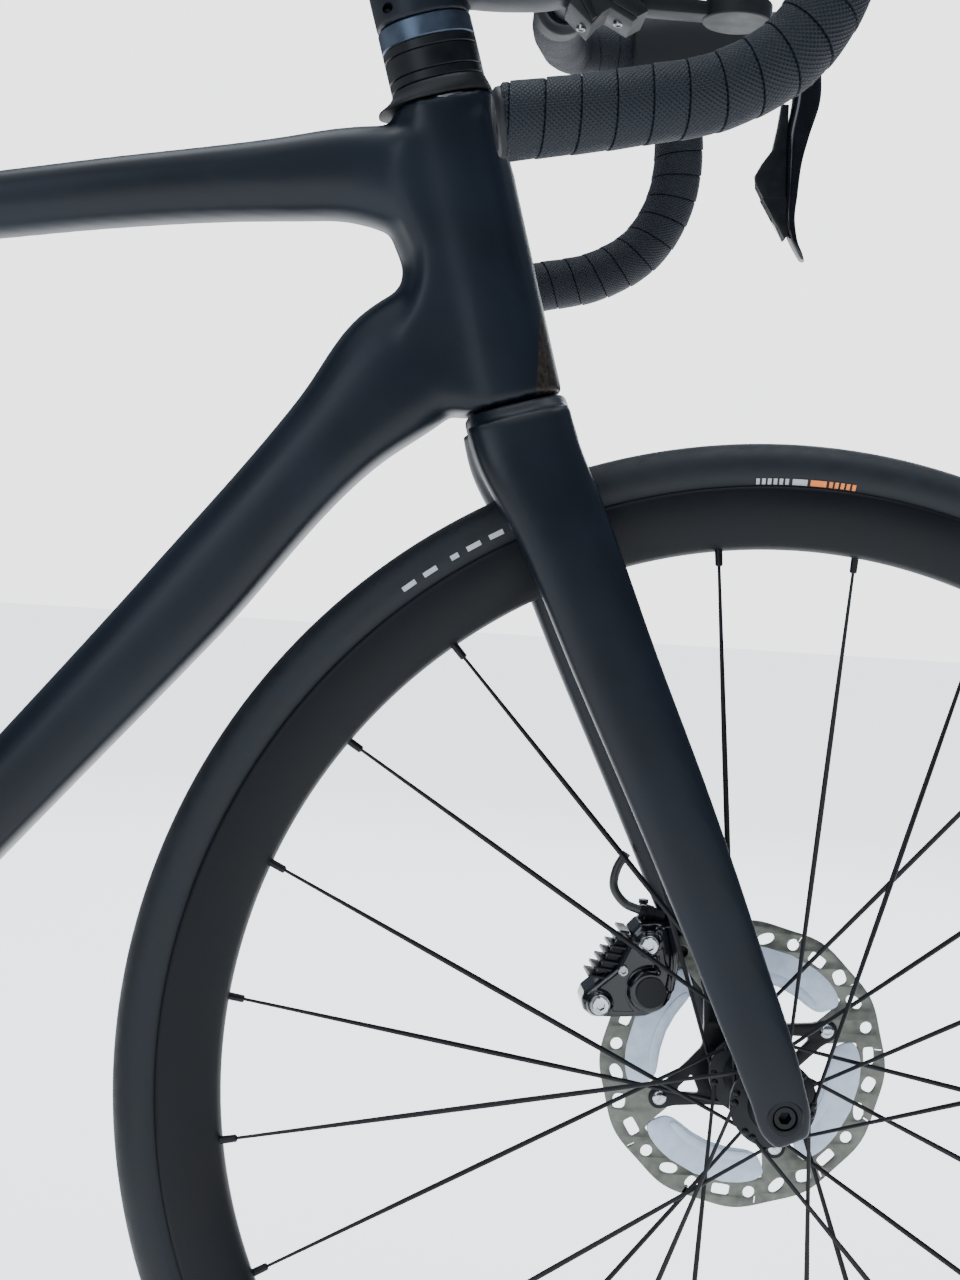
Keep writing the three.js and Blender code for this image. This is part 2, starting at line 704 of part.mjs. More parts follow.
function rearCaliper() {
  const outline = [
    [-940, 14],
    [-890, 0],
    [-868, 2],
    [-868, 30],
    [-885, 44],
    [-922, 44],
    [-938, 32],
  ].map(([x, z]) => [FRONT_X + x, TYRE_RADIUS + z]);
  const stay = tube(chainstayStations(1), 2.5, 10, 2 * GAP);
  const body = plate(outline, REAR_ROTOR_Y - 14, REAR_ROTOR_Y + 16);
  return cut(body, rotorRoom(REAR_AXLE, REAR_ROTOR_Y, REAR_ROTOR_RADIUS), stay);
}
addPart("rear_caliper", rearCaliper(), GLOSS_BLACK);

// Wheels.
function tyre() {
  const half = TYRE_WIDTH / 2;
  const side = [
    [TYRE_RADIUS - 4.2, 10],
    [TYRE_RADIUS - half, half],
    [RIM_TOP_RADIUS + 0.4, 11.8],
    [RIM_TOP_RADIUS + 0.4, 8.6],
    [TYRE_RADIUS - 4.5, 7],
  ];
  const mirrored = side.map(([radius, y]) => [radius, -y]).reverse();
  return turned([[TYRE_RADIUS, 0], ...side, ...mirrored], WHEEL_SEGMENTS);
}

function rim() {
  const outside = [
    [RIM_TOP_RADIUS, RIM_HALF_WIDTH - 0.5],
    [RIM_TOP_RADIUS - 14, RIM_HALF_WIDTH],
    [RIM_INNER_RADIUS, 5.5],
  ];
  const inside = [
    [RIM_INNER_RADIUS + 6, 5],
    [RIM_TOP_RADIUS, RIM_HALF_WIDTH - 2.8],
  ];
  const half = [...inside, ...outside];
  const mirrored = half.map(([radius, y]) => [radius, -y]).reverse();
  return turned([...half, ...mirrored], WHEEL_SEGMENTS);
}

const FLANGE_RADIUS = 22.5;
function frontHub() {
  return turned(
    [
      [AXLE_RADIUS + GAP, -FRONT_HUB_HALF],
      [9.5, -FRONT_HUB_HALF],
      [9.5, -40],
      [13, -37],
      [FLANGE_RADIUS, -34.5],
      [FLANGE_RADIUS, -31.5],
      [12, -28],
      [12, 18],
      [FLANGE_RADIUS, 21.5],
      [FLANGE_RADIUS, 24.5],
      [16, 27],
      [16, 44],
      [9.5, 46],
      [9.5, FRONT_HUB_HALF],
      [AXLE_RADIUS + GAP, FRONT_HUB_HALF],
    ],
    12,
  );
}

const FREEHUB_RADIUS = 15.5;
function rearHub() {
  return turned(
    [
      [AXLE_RADIUS + GAP, -REAR_HUB_HALF],
      [9, -REAR_HUB_HALF],
      [9, -67.5],
      [FREEHUB_RADIUS, -67],
      [FREEHUB_RADIUS, -24],
      [FLANGE_RADIUS, -21.5],
      [FLANGE_RADIUS, -18.5],
      [13, -15],
      [13, 18],
      [FLANGE_RADIUS, 21.5],
      [FLANGE_RADIUS, 24.5],
      [17, 28],
      [17, REAR_ROTOR_Y + 2],
      [10, REAR_ROTOR_Y + 4],
      [10, REAR_HUB_HALF],
      [AXLE_RADIUS + GAP, REAR_HUB_HALF],
    ],
    12,
  );
}

// The spokes of one flange: a thin ring that carries their heads, and one flat bar for each spoke.
function spokes(flangeY, side) {
  const ringRadius = FLANGE_RADIUS + 4 * GAP;
  const head = turned(
    [
      [ringRadius, flangeY - 2.4],
      [ringRadius + 2.6, flangeY - 2.4],
      [ringRadius + 2.6, flangeY + 2.4],
      [ringRadius, flangeY + 2.4],
    ],
    SPOKES_PER_SIDE,
  );
  const around = (angle, radius, y) =>
    place(radius * Math.cos(radians(angle)), y, radius * Math.sin(radians(angle)));
  const spacing = 360 / SPOKES_PER_SIDE;
  const blades = Array.from({ length: SPOKES_PER_SIDE }, (_, i) => {
    const nipple = FIRST_NIPPLE_ANGLE + spacing * i + (side > 0 ? spacing / 2 : 0);
    const lean = i % 2 === 0 ? -SPOKE_LEAN : SPOKE_LEAN;
    const from = around(nipple + lean, ringRadius + 1.2, flangeY + Math.sign(lean) * SPOKE_CROSSING);
    const to = around(nipple, RIM_INNER_RADIUS - 1.5, side * 3);
    return bar(from, to, 0.9, 3);
  });
  return join(head, ...blades);
}

// A brake rotor: slotted track, four spider arms and a centre ring.
function rotor(radius, bore, y) {
  const thin = (inner, outer) =>
    turned(
      [
        [inner, y - ROTOR_THICKNESS / 2],
        [outer, y - ROTOR_THICKNESS / 2],
        [outer, y + ROTOR_THICKNESS / 2],
        [inner, y + ROTOR_THICKNESS / 2],
      ],
      28,
    );
  const arms = [24.5, 114.5].map((angle) => {
    const arm = new THREE.BoxGeometry(2 * (radius - 26), ROTOR_THICKNESS, 12);
    return solid(arm.rotateY(-radians(angle)).translate(0, y, 0));
  });
  const centreHole = bar(place(0, y - 5, 0), place(0, y + 5, 0), bore, 16);
  return cut(join(thin(radius - 36, radius), thin(bore, bore + 9), ...arms), centreHole);
}

for (const [name, centre, hub, rotorRadius, rotorY, rotorBore] of [
  ["front", FRONT_AXLE, frontHub(), FRONT_ROTOR_RADIUS, FRONT_ROTOR_Y, 16.8],
  ["rear", REAR_AXLE, rearHub(), REAR_ROTOR_RADIUS, REAR_ROTOR_Y, 17.8],
]) {
  const wheel = groupAt(centre);
  addPart(name + "_tyre", tyre(), RUBBER, wheel);
  addPart(name + "_rim", rim(), CARBON, wheel);
  addPart(name + "_hub", hub, SATIN_BLACK, wheel);
  addPart(name + "_spokes_left", spokes(23, 1), SATIN_BLACK, wheel);
  addPart(name + "_spokes_right", spokes(name === "front" ? -33 : -20, -1), SATIN_BLACK, wheel);
  addPart(name + "_rotor", rotor(rotorRadius, rotorBore, rotorY), STEEL, wheel);
}

// Drive. The toothed wheels are plain discs up to the chain's inner edge.
const pitchRadius = (teeth) => CHAIN_PITCH / (2 * Math.sin(Math.PI / teeth));
const discRadius = (teeth) => pitchRadius(teeth) - CHAIN_HALF_HEIGHT - 2 * GAP;
// The chain's straight steps round the large ring cut this far inside its circle.
const CHAIN_SAG = 1;

const COG_THICKNESS = 1.8;
function cassette() {
  const ends = COG_TEETH.map((_, i) => CHAIN_Y + COG_SPACING * (i - CHAIN_COG) - COG_THICKNESS / 2);
  const steps = COG_TEETH.flatMap((teeth, i) => {
    const next = ends[i + 1] ?? ends[i] + COG_THICKNESS + GAP;
    return [
      [discRadius(teeth), ends[i]],
      [discRadius(teeth), next],
    ];
  });
  const bore = FREEHUB_RADIUS + 2 * GAP;
  return turned([[bore, steps[0][1]], ...steps, [bore, steps.at(-1)[1]]], 14);
}
addPart("cassette", cassette(), ALLOY_GREY, groupAt(REAR_AXLE));

const LARGE_RING = { low: CHAIN_Y - 1.1, high: CHAIN_Y + 1.1 };
const SMALL_RING = { low: CHAIN_Y + 5.3, high: CHAIN_Y + 7.3 };
const RING_BORE = 50;
const drive = groupAt(BRACKET);
const ringDisc = (teeth, { low, high }) =>
  turned(
    [
      [RING_BORE, low],
      [discRadius(teeth) - CHAIN_SAG, low],
      [discRadius(teeth) - CHAIN_SAG, high],
      [RING_BORE, high],
    ],
    36,
  );
addPart("chainring_large", ringDisc(RING_TEETH, LARGE_RING), SATIN_BLACK, drive);
addPart("chainring_small", ringDisc(SMALL_RING_TEETH, SMALL_RING), SATIN_BLACK, drive);

// A crank arm pointing ahead (way 1) or back (way -1), on the side given.
function crankArm(side, way) {
  const section = (ahead, y, height, width) =>
    ring(place(way * ahead, side * y, 0), place(0, 0, height / 2), place(0, width / 2, 0), 2.8, 10);
  return loft([
    section(-20, 68, 18, 10),
    section(-12, 68, 36, 13),
    section(10, 68, 38, 14),
    section(50, 68.5, 27, 13),
    section(CRANK_LENGTH - 20, 70, 24, 12),
    section(CRANK_LENGTH, 70, 26, 12),
    section(CRANK_LENGTH + 12, 70, 16, 10),
  ]);
}
const PEDAL_BORE = 7.2;
const pedalHole = (way) =>
  bar(place(way * CRANK_LENGTH, -100, 0), place(way * CRANK_LENGTH, 100, 0), PEDAL_BORE + 2 * GAP, 12);

function rightCrank() {
  const hubBody = bar(place(0, -74, 0), place(0, -43, 0), 21, 16);
  const axle = bar(place(0, -60, 0), place(0, 72, 0), 12, 12);
  const arms = [45, 135].map((angle) =>
    solid(new THREE.BoxGeometry(124, 2.7, 17).rotateY(-radians(angle)).translate(0, CHAIN_Y + 3.3, 0)),
  );
  return cut(join(crankArm(-1, 1), hubBody, axle, ...arms), pedalHole(1));
}
function leftCrank() {
  const hubBody = bar(place(0, 61, 0), place(0, 75, 0), 18, 14);
  const axleRoom = bar(place(0, 50, 0), place(0, 90, 0), 12 + 2 * GAP, 12);
  return cut(join(crankArm(1, -1), hubBody), axleRoom, pedalHole(-1));
}
addPart("crank_right", rightCrank(), GLOSS_BLACK, drive);
addPart("crank_left", leftCrank(), GLOSS_BLACK, drive);

for (const [name, side, way] of [
  ["right", -1, 1],
  ["left", 1, -1],
]) {
  const group = groupAt(BRACKET.clone().add(place(way * CRANK_LENGTH, 0, 0)));
  const axle = bar(place(0, side * 64.5, 0), place(0, side * 90, 0), PEDAL_BORE, 12);
  const section = (y, length, height) =>
    ring(place(0, side * y, 0), place(length / 2, 0, 0), place(0, 0, height / 2), 5, 16);
  const body = loft([section(84, 34, 20), section(92, 62, 22), section(128, 62, 22), section(138, 44, 18)]);
  addPart("pedal_" + name, join(axle, body), SATIN_BLACK, group);
}

// Chain line: a belt round the large ring, a cog and the two jockey wheels, in one upright plane.
const GUIDE_JOCKEY = at(-WHEELBASE + 4, -84);
const TENSION_JOCKEY = at(-WHEELBASE + 26, -136);
const CHAIN_WHEELS = [
  { centre: BRACKET, radius: pitchRadius(RING_TEETH), turn: 1 },
  { centre: TENSION_JOCKEY, radius: pitchRadius(JOCKEY_TEETH), turn: 1 },
  { centre: GUIDE_JOCKEY, radius: pitchRadius(JOCKEY_TEETH), turn: -1 },
  { centre: REAR_AXLE, radius: pitchRadius(COG_TEETH[CHAIN_COG]), turn: 1 },
];

// The angle, seen from the right, at which a belt leaves one wheel for the next.
function leaveAngle(from, to) {
  const way = new THREE.Vector2(to.centre.x - from.centre.x, to.centre.z - from.centre.z);
  const spread = from.turn * from.radius - to.turn * to.radius;
  return way.angle() + Math.acos(spread / way.length());
}

// Points of the belt, each with the outward way of the wheel that it lies on.
function chainLine(arcStep) {
  const line = [];
  const count = CHAIN_WHEELS.length;
  CHAIN_WHEELS.forEach((wheel, i) => {
    const before = CHAIN_WHEELS[(i + count - 1) % count];
    const after = CHAIN_WHEELS[(i + 1) % count];
    const start = leaveAngle(before, wheel);
    let sweep = start - leaveAngle(wheel, after);
    const whole = 2 * Math.PI;
    sweep = wheel.turn * THREE.MathUtils.euclideanModulo(wheel.turn * sweep, whole);
    const steps = Math.max(2, Math.ceil(Math.abs(sweep) / arcStep));
    for (let k = 0; k <= steps; k++) {
      const angle = start - (sweep * k) / steps;
      const out = new THREE.Vector2(Math.cos(angle), Math.sin(angle));
      const centre = new THREE.Vector2(wheel.centre.x, wheel.centre.z);
      line.push({ point: centre.addScaledVector(out, wheel.turn * wheel.radius), out });
    }
  });
  return line;
}

function chain() {
  const line = chainLine(radians(18));
  const offset = (distance) =>
    line.map(({ point, out }) => point.clone().addScaledVector(out, distance).toArray());
  const [low, high] = [CHAIN_Y - CHAIN_WIDTH / 2, CHAIN_Y + CHAIN_WIDTH / 2];
  return plate(offset(CHAIN_HALF_HEIGHT), low, high, offset(-CHAIN_HALF_HEIGHT).reverse());
}
addPart("chain", chain(), STEEL);

// Rear derailleur: a mount on the hanger, a link, a knuckle, and the cage with its two jockey wheels.
const LINK_WAY = place(36, -11, -12);
const SHIFT_WAY = place(0.1, 0.86, -0.5);
const LINK_AXIS = LINK_WAY.clone().cross(SHIFT_WAY).normalize();
const LINK_TOP = HANGER_BOLT.clone().add(place(-1, -92, -16));
const LINK_END = LINK_TOP.clone().add(LINK_WAY);
function alongAxis(centre, low, high, radius) {
  const on = (distance) => centre.clone().addScaledVector(LINK_AXIS, distance);
  return bar(on(low), on(high), radius, 12);
}

const linkSolid = join(
  alongAxis(LINK_TOP, -4.5, 4.5, 6),
  alongAxis(LINK_END, -4.5, 4.5, 6),
  bar(LINK_TOP, LINK_END, 4.2, 8),
);
addPart("derailleur_link", linkSolid, SATIN_BLACK);

const mountBody = join(acrossBar(HANGER_BOLT, -99, -80.8, 9), alongAxis(LINK_TOP, 5.2, 12, 6));
addPart("derailleur_mount", cut(mountBody, alongAxis(LINK_TOP, -6, 5.2, 7.5)), SATIN_BLACK);

const KNUCKLE_END = -54.2;
const JOCKEY_PIN_RADIUS = 2.5;
function knuckle() {
  const barrel = acrossBar(GUIDE_JOCKEY, -96, KNUCKLE_END, 12);
  const eye = alongAxis(LINK_END, -12, -5.2, 6);
  const eyeCentre = LINK_END.clone().addScaledVector(LINK_AXIS, -9);
  const arm = bar(eyeCentre, place(GUIDE_JOCKEY.x, -90, GUIDE_JOCKEY.z), 5.5, 10);
  return cut(join(barrel, eye, arm), alongAxis(LINK_END, -5.2, 6, 8));
}
addPart("derailleur_knuckle", knuckle(), SATIN_BLACK);

function derailleurCage() {
  const outline = [
    [GUIDE_JOCKEY.x - 11, GUIDE_JOCKEY.z + 3],
    [GUIDE_JOCKEY.x - 3, GUIDE_JOCKEY.z + 11],
    [GUIDE_JOCKEY.x + 9, GUIDE_JOCKEY.z + 7],
    [TENSION_JOCKEY.x + 11, TENSION_JOCKEY.z - 2],
    [TENSION_JOCKEY.x + 3, TENSION_JOCKEY.z - 11],
    [TENSION_JOCKEY.x - 9, TENSION_JOCKEY.z - 6],
  ];
  const pins = [GUIDE_JOCKEY, TENSION_JOCKEY].map((centre) =>
    acrossBar(centre, CHAIN_Y - 6, CHAIN_Y + 6, JOCKEY_PIN_RADIUS, 10),
  );
  return join(
    plate(outline, CHAIN_Y - 6.8, CHAIN_Y - 4.8),
    plate(outline, CHAIN_Y + 4.8, CHAIN_Y + 6.8),
    ...pins,
  );
}
addPart("derailleur_cage", derailleurCage(), SATIN_BLACK);

for (const [name, centre] of [
  ["upper", GUIDE_JOCKEY],
  ["lower", TENSION_JOCKEY],
]) {
  const radius = discRadius(JOCKEY_TEETH);
  const profile = [
    [JOCKEY_PIN_RADIUS + GAP, CHAIN_Y - 3],
    [radius, CHAIN_Y - 1.5],
    [radius, CHAIN_Y + 1.5],
    [JOCKEY_PIN_RADIUS + GAP, CHAIN_Y + 3],
  ];
  addPart("jockey_" + name, turned(profile, 16), SATIN_BLACK, groupAt(place(centre.x, 0, centre.z)));
}

// Front derailleur: a body on the seat tube, and a cage over the chain's upper run.
function frontCage() {
  const inner = pitchRadius(RING_TEETH) + 6;
  const arc = (radius, from, to) =>
    [0, 1, 2, 3].map((i) => {
      const angle = radians(from + ((to - from) * i) / 3);
      return [BRACKET.x + radius * Math.cos(angle), BRACKET.z + radius * Math.sin(angle)];
    });
  const outline = [...arc(inner, 88, 118), ...arc(inner + 20, 116, 88)];
  const bridge = [...arc(inner + 16, 88, 117), ...arc(inner + 20, 116, 88)];
  const arm = block(at(-640, 44, CHAIN_Y - 1), at(-622, 66, CHAIN_Y + 6));
  const clearance = [...arc(inner + 16, 80, 140), ...arc(inner - 30, 140, 80)];
  return join(
    plate(outline, CHAIN_Y - 7.6, CHAIN_Y - 6.2),
    plate(outline, CHAIN_Y + 4.6, CHAIN_Y + 6),
    plate(bridge, CHAIN_Y - 7, CHAIN_Y + 5.4),
    cut(arm, plate(clearance, CHAIN_Y - 10, CHAIN_Y + 10)),
  );
}
addPart("front_derailleur_cage", frontCage(), SATIN_BLACK);

function frontDerailleur() {
  const body = block(at(-648, 58, -38.5), at(-606, 88, -12));
  return cut(body, tube(SEAT_TUBE, 2.5, 10, 2 * GAP));
}
addPart("front_derailleur", frontDerailleur(), GLOSS_BLACK);

export default bicycle;
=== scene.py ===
import json
import math

import bmesh
import bpy
import numpy as np
from mathutils import Matrix, Vector

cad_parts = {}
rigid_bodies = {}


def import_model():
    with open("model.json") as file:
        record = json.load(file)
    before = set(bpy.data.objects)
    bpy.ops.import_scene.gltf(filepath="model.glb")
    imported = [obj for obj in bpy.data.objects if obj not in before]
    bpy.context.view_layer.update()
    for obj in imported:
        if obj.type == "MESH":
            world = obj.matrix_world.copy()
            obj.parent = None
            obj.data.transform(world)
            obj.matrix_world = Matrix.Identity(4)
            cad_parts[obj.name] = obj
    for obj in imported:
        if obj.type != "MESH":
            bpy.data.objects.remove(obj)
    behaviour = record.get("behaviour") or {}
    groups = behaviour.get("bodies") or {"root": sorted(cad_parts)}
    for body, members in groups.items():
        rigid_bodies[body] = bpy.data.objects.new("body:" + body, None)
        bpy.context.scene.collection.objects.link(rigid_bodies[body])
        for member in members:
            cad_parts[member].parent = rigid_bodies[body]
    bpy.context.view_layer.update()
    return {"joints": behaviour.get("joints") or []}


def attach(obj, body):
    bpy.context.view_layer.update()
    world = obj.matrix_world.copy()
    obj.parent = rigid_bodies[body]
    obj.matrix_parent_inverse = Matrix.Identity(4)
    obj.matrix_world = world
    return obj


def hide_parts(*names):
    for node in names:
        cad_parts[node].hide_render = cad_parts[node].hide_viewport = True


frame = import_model()

# ---------------------------------------------------------------- places, in millimetres
MM = 0.001
PIN = {j["name"]: np.array(j["pos_m"]) / MM for j in frame["joints"]}
AXIS = {j["name"]: np.array(j["axis"], float) for j in frame["joints"]}
FRONT_AXLE = PIN["front_wheel_spin"]
REAR_AXLE = PIN["rear_wheel_spin"]
BRACKET = PIN["crank_spin"]
CROWN = PIN["steering"]
HEAD_LEAN = math.degrees(math.asin(-AXIS["steering"][0]))
UP = AXIS["steering"]
FORE = np.array([UP[2], 0, -UP[0]])
SIDES = {"left": 1, "right": -1}
END_SHRINK = 0.7  # how much a rod narrows on its last face, so its end looks dressed
Y = np.array([0, 1, 0.0])


def at(x, z, y=0.0):
    """A place measured from the front axle: ahead, up, and to the left."""
    return FRONT_AXLE + np.array([x, y, z], float)


def steered(up, fore=0.0, y=0.0):
    """A place measured from the crown race: up the steerer, ahead of it, and to the left."""
    return CROWN + UP * up + FORE * fore + Y * y


def turn(degrees):
    """The way in the wheel's plane at an angle from ahead towards up."""
    return np.array([math.cos(math.radians(degrees)), 0, math.sin(math.radians(degrees))])


# ---------------------------------------------------------------- shells: points and faces
def ring(centre, across, along, power=2.0, count=32, belly=0.0):
    """Points round a centre: an oval at power 2, a rounded box above it.

    belly moves the widest place along across."""
    angle = np.arange(count) * 2 * math.pi / count
    u, v = (np.sign(w) * np.abs(w) ** (2 / power) for w in (np.cos(angle), np.sin(angle)))
    u = belly + u * (1 - belly * np.sign(u))
    return np.asarray(centre) + u[:, None] * across + v[:, None] * along


def loft(rings, closed=False, capped=True):
    """A skin over rings with the same number of points, with a cap at each end unless it closes on itself."""
    count, rows = len(rings[0]), len(rings)
    points = np.concatenate(rings)
    faces = []
    for r in range(rows if closed else rows - 1):
        a, b = r * count, (r + 1) % rows * count
        faces += [(a + i, a + (i + 1) % count, b + (i + 1) % count, b + i) for i in range(count)]
    if capped and not closed:
        faces += [tuple(range(count))[::-1], tuple(range((rows - 1) * count, rows * count))]
    return points, faces


def merge(*shells):
    """Several shells as one, with their faces renumbered."""
    points, faces, start = [], [], 0
    for p, f in shells:
        points.append(p)
        faces += [tuple(i + start for i in face) for face in f]
        start += len(p)
    return np.concatenate(points), faces


def flow(rows, steps):
    """Rows of numbers filled in with a smooth curve, spaced by the distance between their first three."""
    rows = np.array(rows, float)
    gaps = np.linalg.norm(np.diff(rows[:, :3], axis=0), axis=1)
    t = np.concatenate([[0], np.cumsum(np.maximum(gaps, 1e-4))])
    slopes = np.gradient(rows, t, axis=0)
    where = np.linspace(0, t[-1], steps + 1)
    i = np.clip(np.searchsorted(t, where, side="right") - 1, 0, len(t) - 2)
    h = (t[i + 1] - t[i])[:, None]
    u = (where - t[i])[:, None] / h
    ends = (2 * u**3 - 3 * u**2 + 1) * rows[i] + (3 * u**2 - 2 * u**3) * rows[i + 1]
    return ends + (u**3 - 2 * u**2 + u) * h * slopes[i] + (u**3 - u**2) * h * slopes[i + 1]


def tube(stations, steps=40, power=2.5, count=40, belly=0.0, extra=0.0):
    """A tube through stations: place, lean of its depth in degrees from ahead to up, depth, width."""
    rows = flow([[*p, lean, depth, width] for p, lean, depth, width in stations], steps)
    return loft(
        [
            ring(r[:3], turn(r[3]) * (r[4] / 2 + extra), Y * (r[5] / 2 + extra), power, count, belly)
            for r in rows
        ]
    )


def travel(points):
    """Ways along, beside and above each point of a line, turning as little as they can."""
    points = np.array(points, float)
    along = np.gradient(points, axis=0)
    along /= np.linalg.norm(along, axis=1)[:, None]
    first = np.cross(along[0], Y if abs(along[0][1]) < 0.9 else [1.0, 0, 0])
    beside = [first / np.linalg.norm(first)]
    for way in along[1:]:
        side = beside[-1] - way * (beside[-1] @ way)
        beside.append(side / np.linalg.norm(side))
    beside = np.array(beside)
    return along, beside, np.cross(along, beside)


def rod(points, radius, steps=40, sides=16, flat=1.0, ends=True):
    """A round or flattened rod along a smooth line; radius may be a list, one for each point."""
    radii = radius if np.ndim(radius) else [radius] * len(points)
    rows = flow([[*p, r] for p, r in zip(points, radii)], steps)
    _, beside, above = travel(rows[:, :3])
    rings = [
        ring(p[:3], b * p[3], a * p[3] * flat, 2, sides) for p, b, a in zip(rows, beside, above)
    ]
    if ends:
        first, last = (end.mean(0) + (end - end.mean(0)) * END_SHRINK for end in (rings[0], rings[-1]))
        rings = [first, *rings, last]
    return loft(rings)


def basis(way):
    """A way made one long, and two more square to it and to each other."""
    way = np.array(way, float) / np.linalg.norm(way)
    side = np.cross(way, [0, 0, 1.0] if abs(way[2]) < 0.9 else [1.0, 0, 0])
    side /= np.linalg.norm(side)
    return way, side, np.cross(way, side)


def spun(profile, centre=(0, 0, 0), way=(0, 1, 0), segments=64, closed=True):
    """A body turned about an axis, from points of radius and distance along it."""
    along, side, up = basis(way)
    profile = np.array(profile, float)
    rings = []
    for a in np.arange(segments) * 2 * math.pi / segments:
        out = side * math.cos(a) + up * math.sin(a)
        rings.append(np.asarray(centre) + profile[:, :1] * out + profile[:, 1:2] * along)
    points, faces = loft(rings, closed=True)
    if not closed:
        n = len(profile)
        faces = [f for f in faces if not {i % n for i in f} == {0, n - 1}]
    return points, faces


def disc(radius, low, high, centre=(0, 0, 0), way=(0, 1, 0), edge=0.5, bore=0.0, segments=48):
    """A round of given thickness with its edges broken, hollow where a bore is given."""
    e = min(edge, (high - low) / 3)
    outer = [[radius - e, low], [radius, low + e], [radius, high - e], [radius - e, high]]
    inner = [[bore + e, high], [bore, high - e], [bore, low + e],
             [bore + e, low]] if bore else [[0, high], [0, low]]
    return spun(outer + inner, centre, way, segments)


def bolt(centre, way, head=4.5, height=4.0, socket=2.2, sides=32):
    """A socket-head bolt whose base is at centre, with a six-sided recess."""
    top = [[head - 0.5, height], [head, height - 0.5], [head, 0], [0, 0]]
    shell = spun([[socket * 1.25, height]] + top, centre, way, sides, closed=False)
    along, side, up = basis(way)
    def hexagon(depth, size):
        """A ring of points pulled in to six flats."""
        a = np.arange(sides) * 2 * math.pi / sides
        reach = size / np.cos((a + math.pi / 6) % (math.pi / 3) - math.pi / 6)
        return centre + along * depth + reach[:, None] * (
            np.cos(a)[:, None] * side + np.sin(a)[:, None] * up
        )
    a = np.arange(sides) * 2 * math.pi / sides
    lip = centre + along * height + socket * 1.25 * (np.cos(a)[:, None] * side + np.sin(a)[:, None] * up)
    well = loft([lip, hexagon(height, socket), hexagon(height * 0.35, socket)], capped=False)
    n = len(well[0])
    return merge(shell, (well[0], [f[::-1] for f in well[1]] + [tuple(range(n - sides, n))]))


def cutout(outlines, low, high, bevel=0.3, plane_y=0.0):
    """A flat plate with holes and broken edges.

    The outlines are ahead and up; the plate lies between two distances to the left."""
    curve = bpy.data.curves.new("cutout", "CURVE")
    curve.dimensions = "2D"
    curve.fill_mode = "BOTH"
    curve.extrude = max((high - low) / 2 - bevel, 0.02)
    curve.bevel_depth = bevel
    curve.bevel_resolution = 1
    curve.offset = -bevel
    for outline in outlines:
        spline = curve.splines.new("POLY")
        spline.points.add(len(outline) - 1)
        for point, (x, z) in zip(spline.points, outline):
            point.co = (x, z, 0, 1)
        spline.use_cyclic_u = True
    points, faces = plain(bpy.data.objects.new("cutout", curve))
    middle = (low + high) / 2 + plane_y
    return np.stack([points[:, 0], middle - points[:, 2], points[:, 1]], 1), faces


def plain(obj, *modifiers):
    """The points and faces of an object with modifiers applied, each given as (kind, settings).

    The object is removed."""
    if not obj.users_collection:
        bpy.context.scene.collection.objects.link(obj)
    for kind, settings in modifiers:
        modifier = obj.modifiers.new(kind, kind)
        for key, value in settings.items():
            setattr(modifier, key, value)
    graph = bpy.context.evaluated_depsgraph_get()
    mesh = bpy.data.meshes.new_from_object(obj.evaluated_get(graph))
    points = np.zeros(len(mesh.vertices) * 3, np.float32)
    mesh.vertices.foreach_get("co", points)
    starts = np.zeros(len(mesh.polygons), int)
    totals = np.zeros(len(mesh.polygons), int)
    corners = np.zeros(len(mesh.loops), int)
    mesh.polygons.foreach_get("loop_start", starts)
    mesh.polygons.foreach_get("loop_total", totals)
    mesh.loops.foreach_get("vertex_index", corners)
    corners = corners.tolist()
    faces = [tuple(corners[s : s + t]) for s, t in zip(starts.tolist(), totals.tolist())]
    bpy.data.objects.remove(obj)
    return points.reshape(-1, 3).astype(float), faces


def mesh_of(name, shell, scale=1.0, weld=1e-4, outward=False, strip=None):
    """A mesh of a shell.

    strip is a flat map: two numbers for each point, and the length at which the first wraps."""
    mesh = bpy.data.meshes.new(name)
    mesh.from_pydata((shell[0] * scale).tolist(), [], shell[1])
    if strip:
        along_mm, across_mm, whole = strip
        corners = np.zeros(len(mesh.loops), int)
        mesh.loops.foreach_get("vertex_index", corners)
        flat = np.stack([along_mm[corners], across_mm[corners]], 1)
        for face in mesh.polygons:
            span = slice(face.loop_start, face.loop_start + face.loop_total)
            if np.ptp(flat[span, 0]) > whole / 2:
                flat[span, 0] += np.where(flat[span, 0] < whole / 2, whole, 0)
        layer = mesh.uv_layers.new(name="strip")
        layer.data.foreach_set("uv", (flat * MM).astype(np.float32).ravel())
    work = bmesh.new()
    work.from_mesh(mesh)
    if weld:
        bmesh.ops.remove_doubles(work, verts=work.verts, dist=weld * scale)
    if outward:
        bmesh.ops.recalc_face_normals(work, faces=work.faces)
    work.to_mesh(mesh)
    work.free()
    return mesh


def fused(*shells, voxel=2.0, smooth=10, rooms=()):
    """Shells moulded into one skin whose corners are rounded, after rooms are cut out of it."""
    body = bpy.data.objects.new("fused", mesh_of("fused", merge(*shells)))
    steps = [("REMESH", {"mode": "VOXEL", "voxel_size": voxel})]
    if rooms:
        points = plain(body, *steps)
        body = bpy.data.objects.new("fused", mesh_of("fused", points))
        steps = []
        for room in rooms:
            tool = bpy.data.objects.new("room", mesh_of("room", room, outward=True))
            bpy.context.scene.collection.objects.link(tool)
            steps.append(("BOOLEAN", {"object": tool, "operation": "DIFFERENCE", "solver": "EXACT"}))
        steps.append(("REMESH", {"mode": "VOXEL", "voxel_size": voxel}))
    steps.append(("SMOOTH", {"factor": 0.5, "iterations": smooth}))
    made = plain(body, *steps)
    for tool in [o for o in bpy.data.objects if o.name.startswith("room")]:
        bpy.data.objects.remove(tool)
    return made


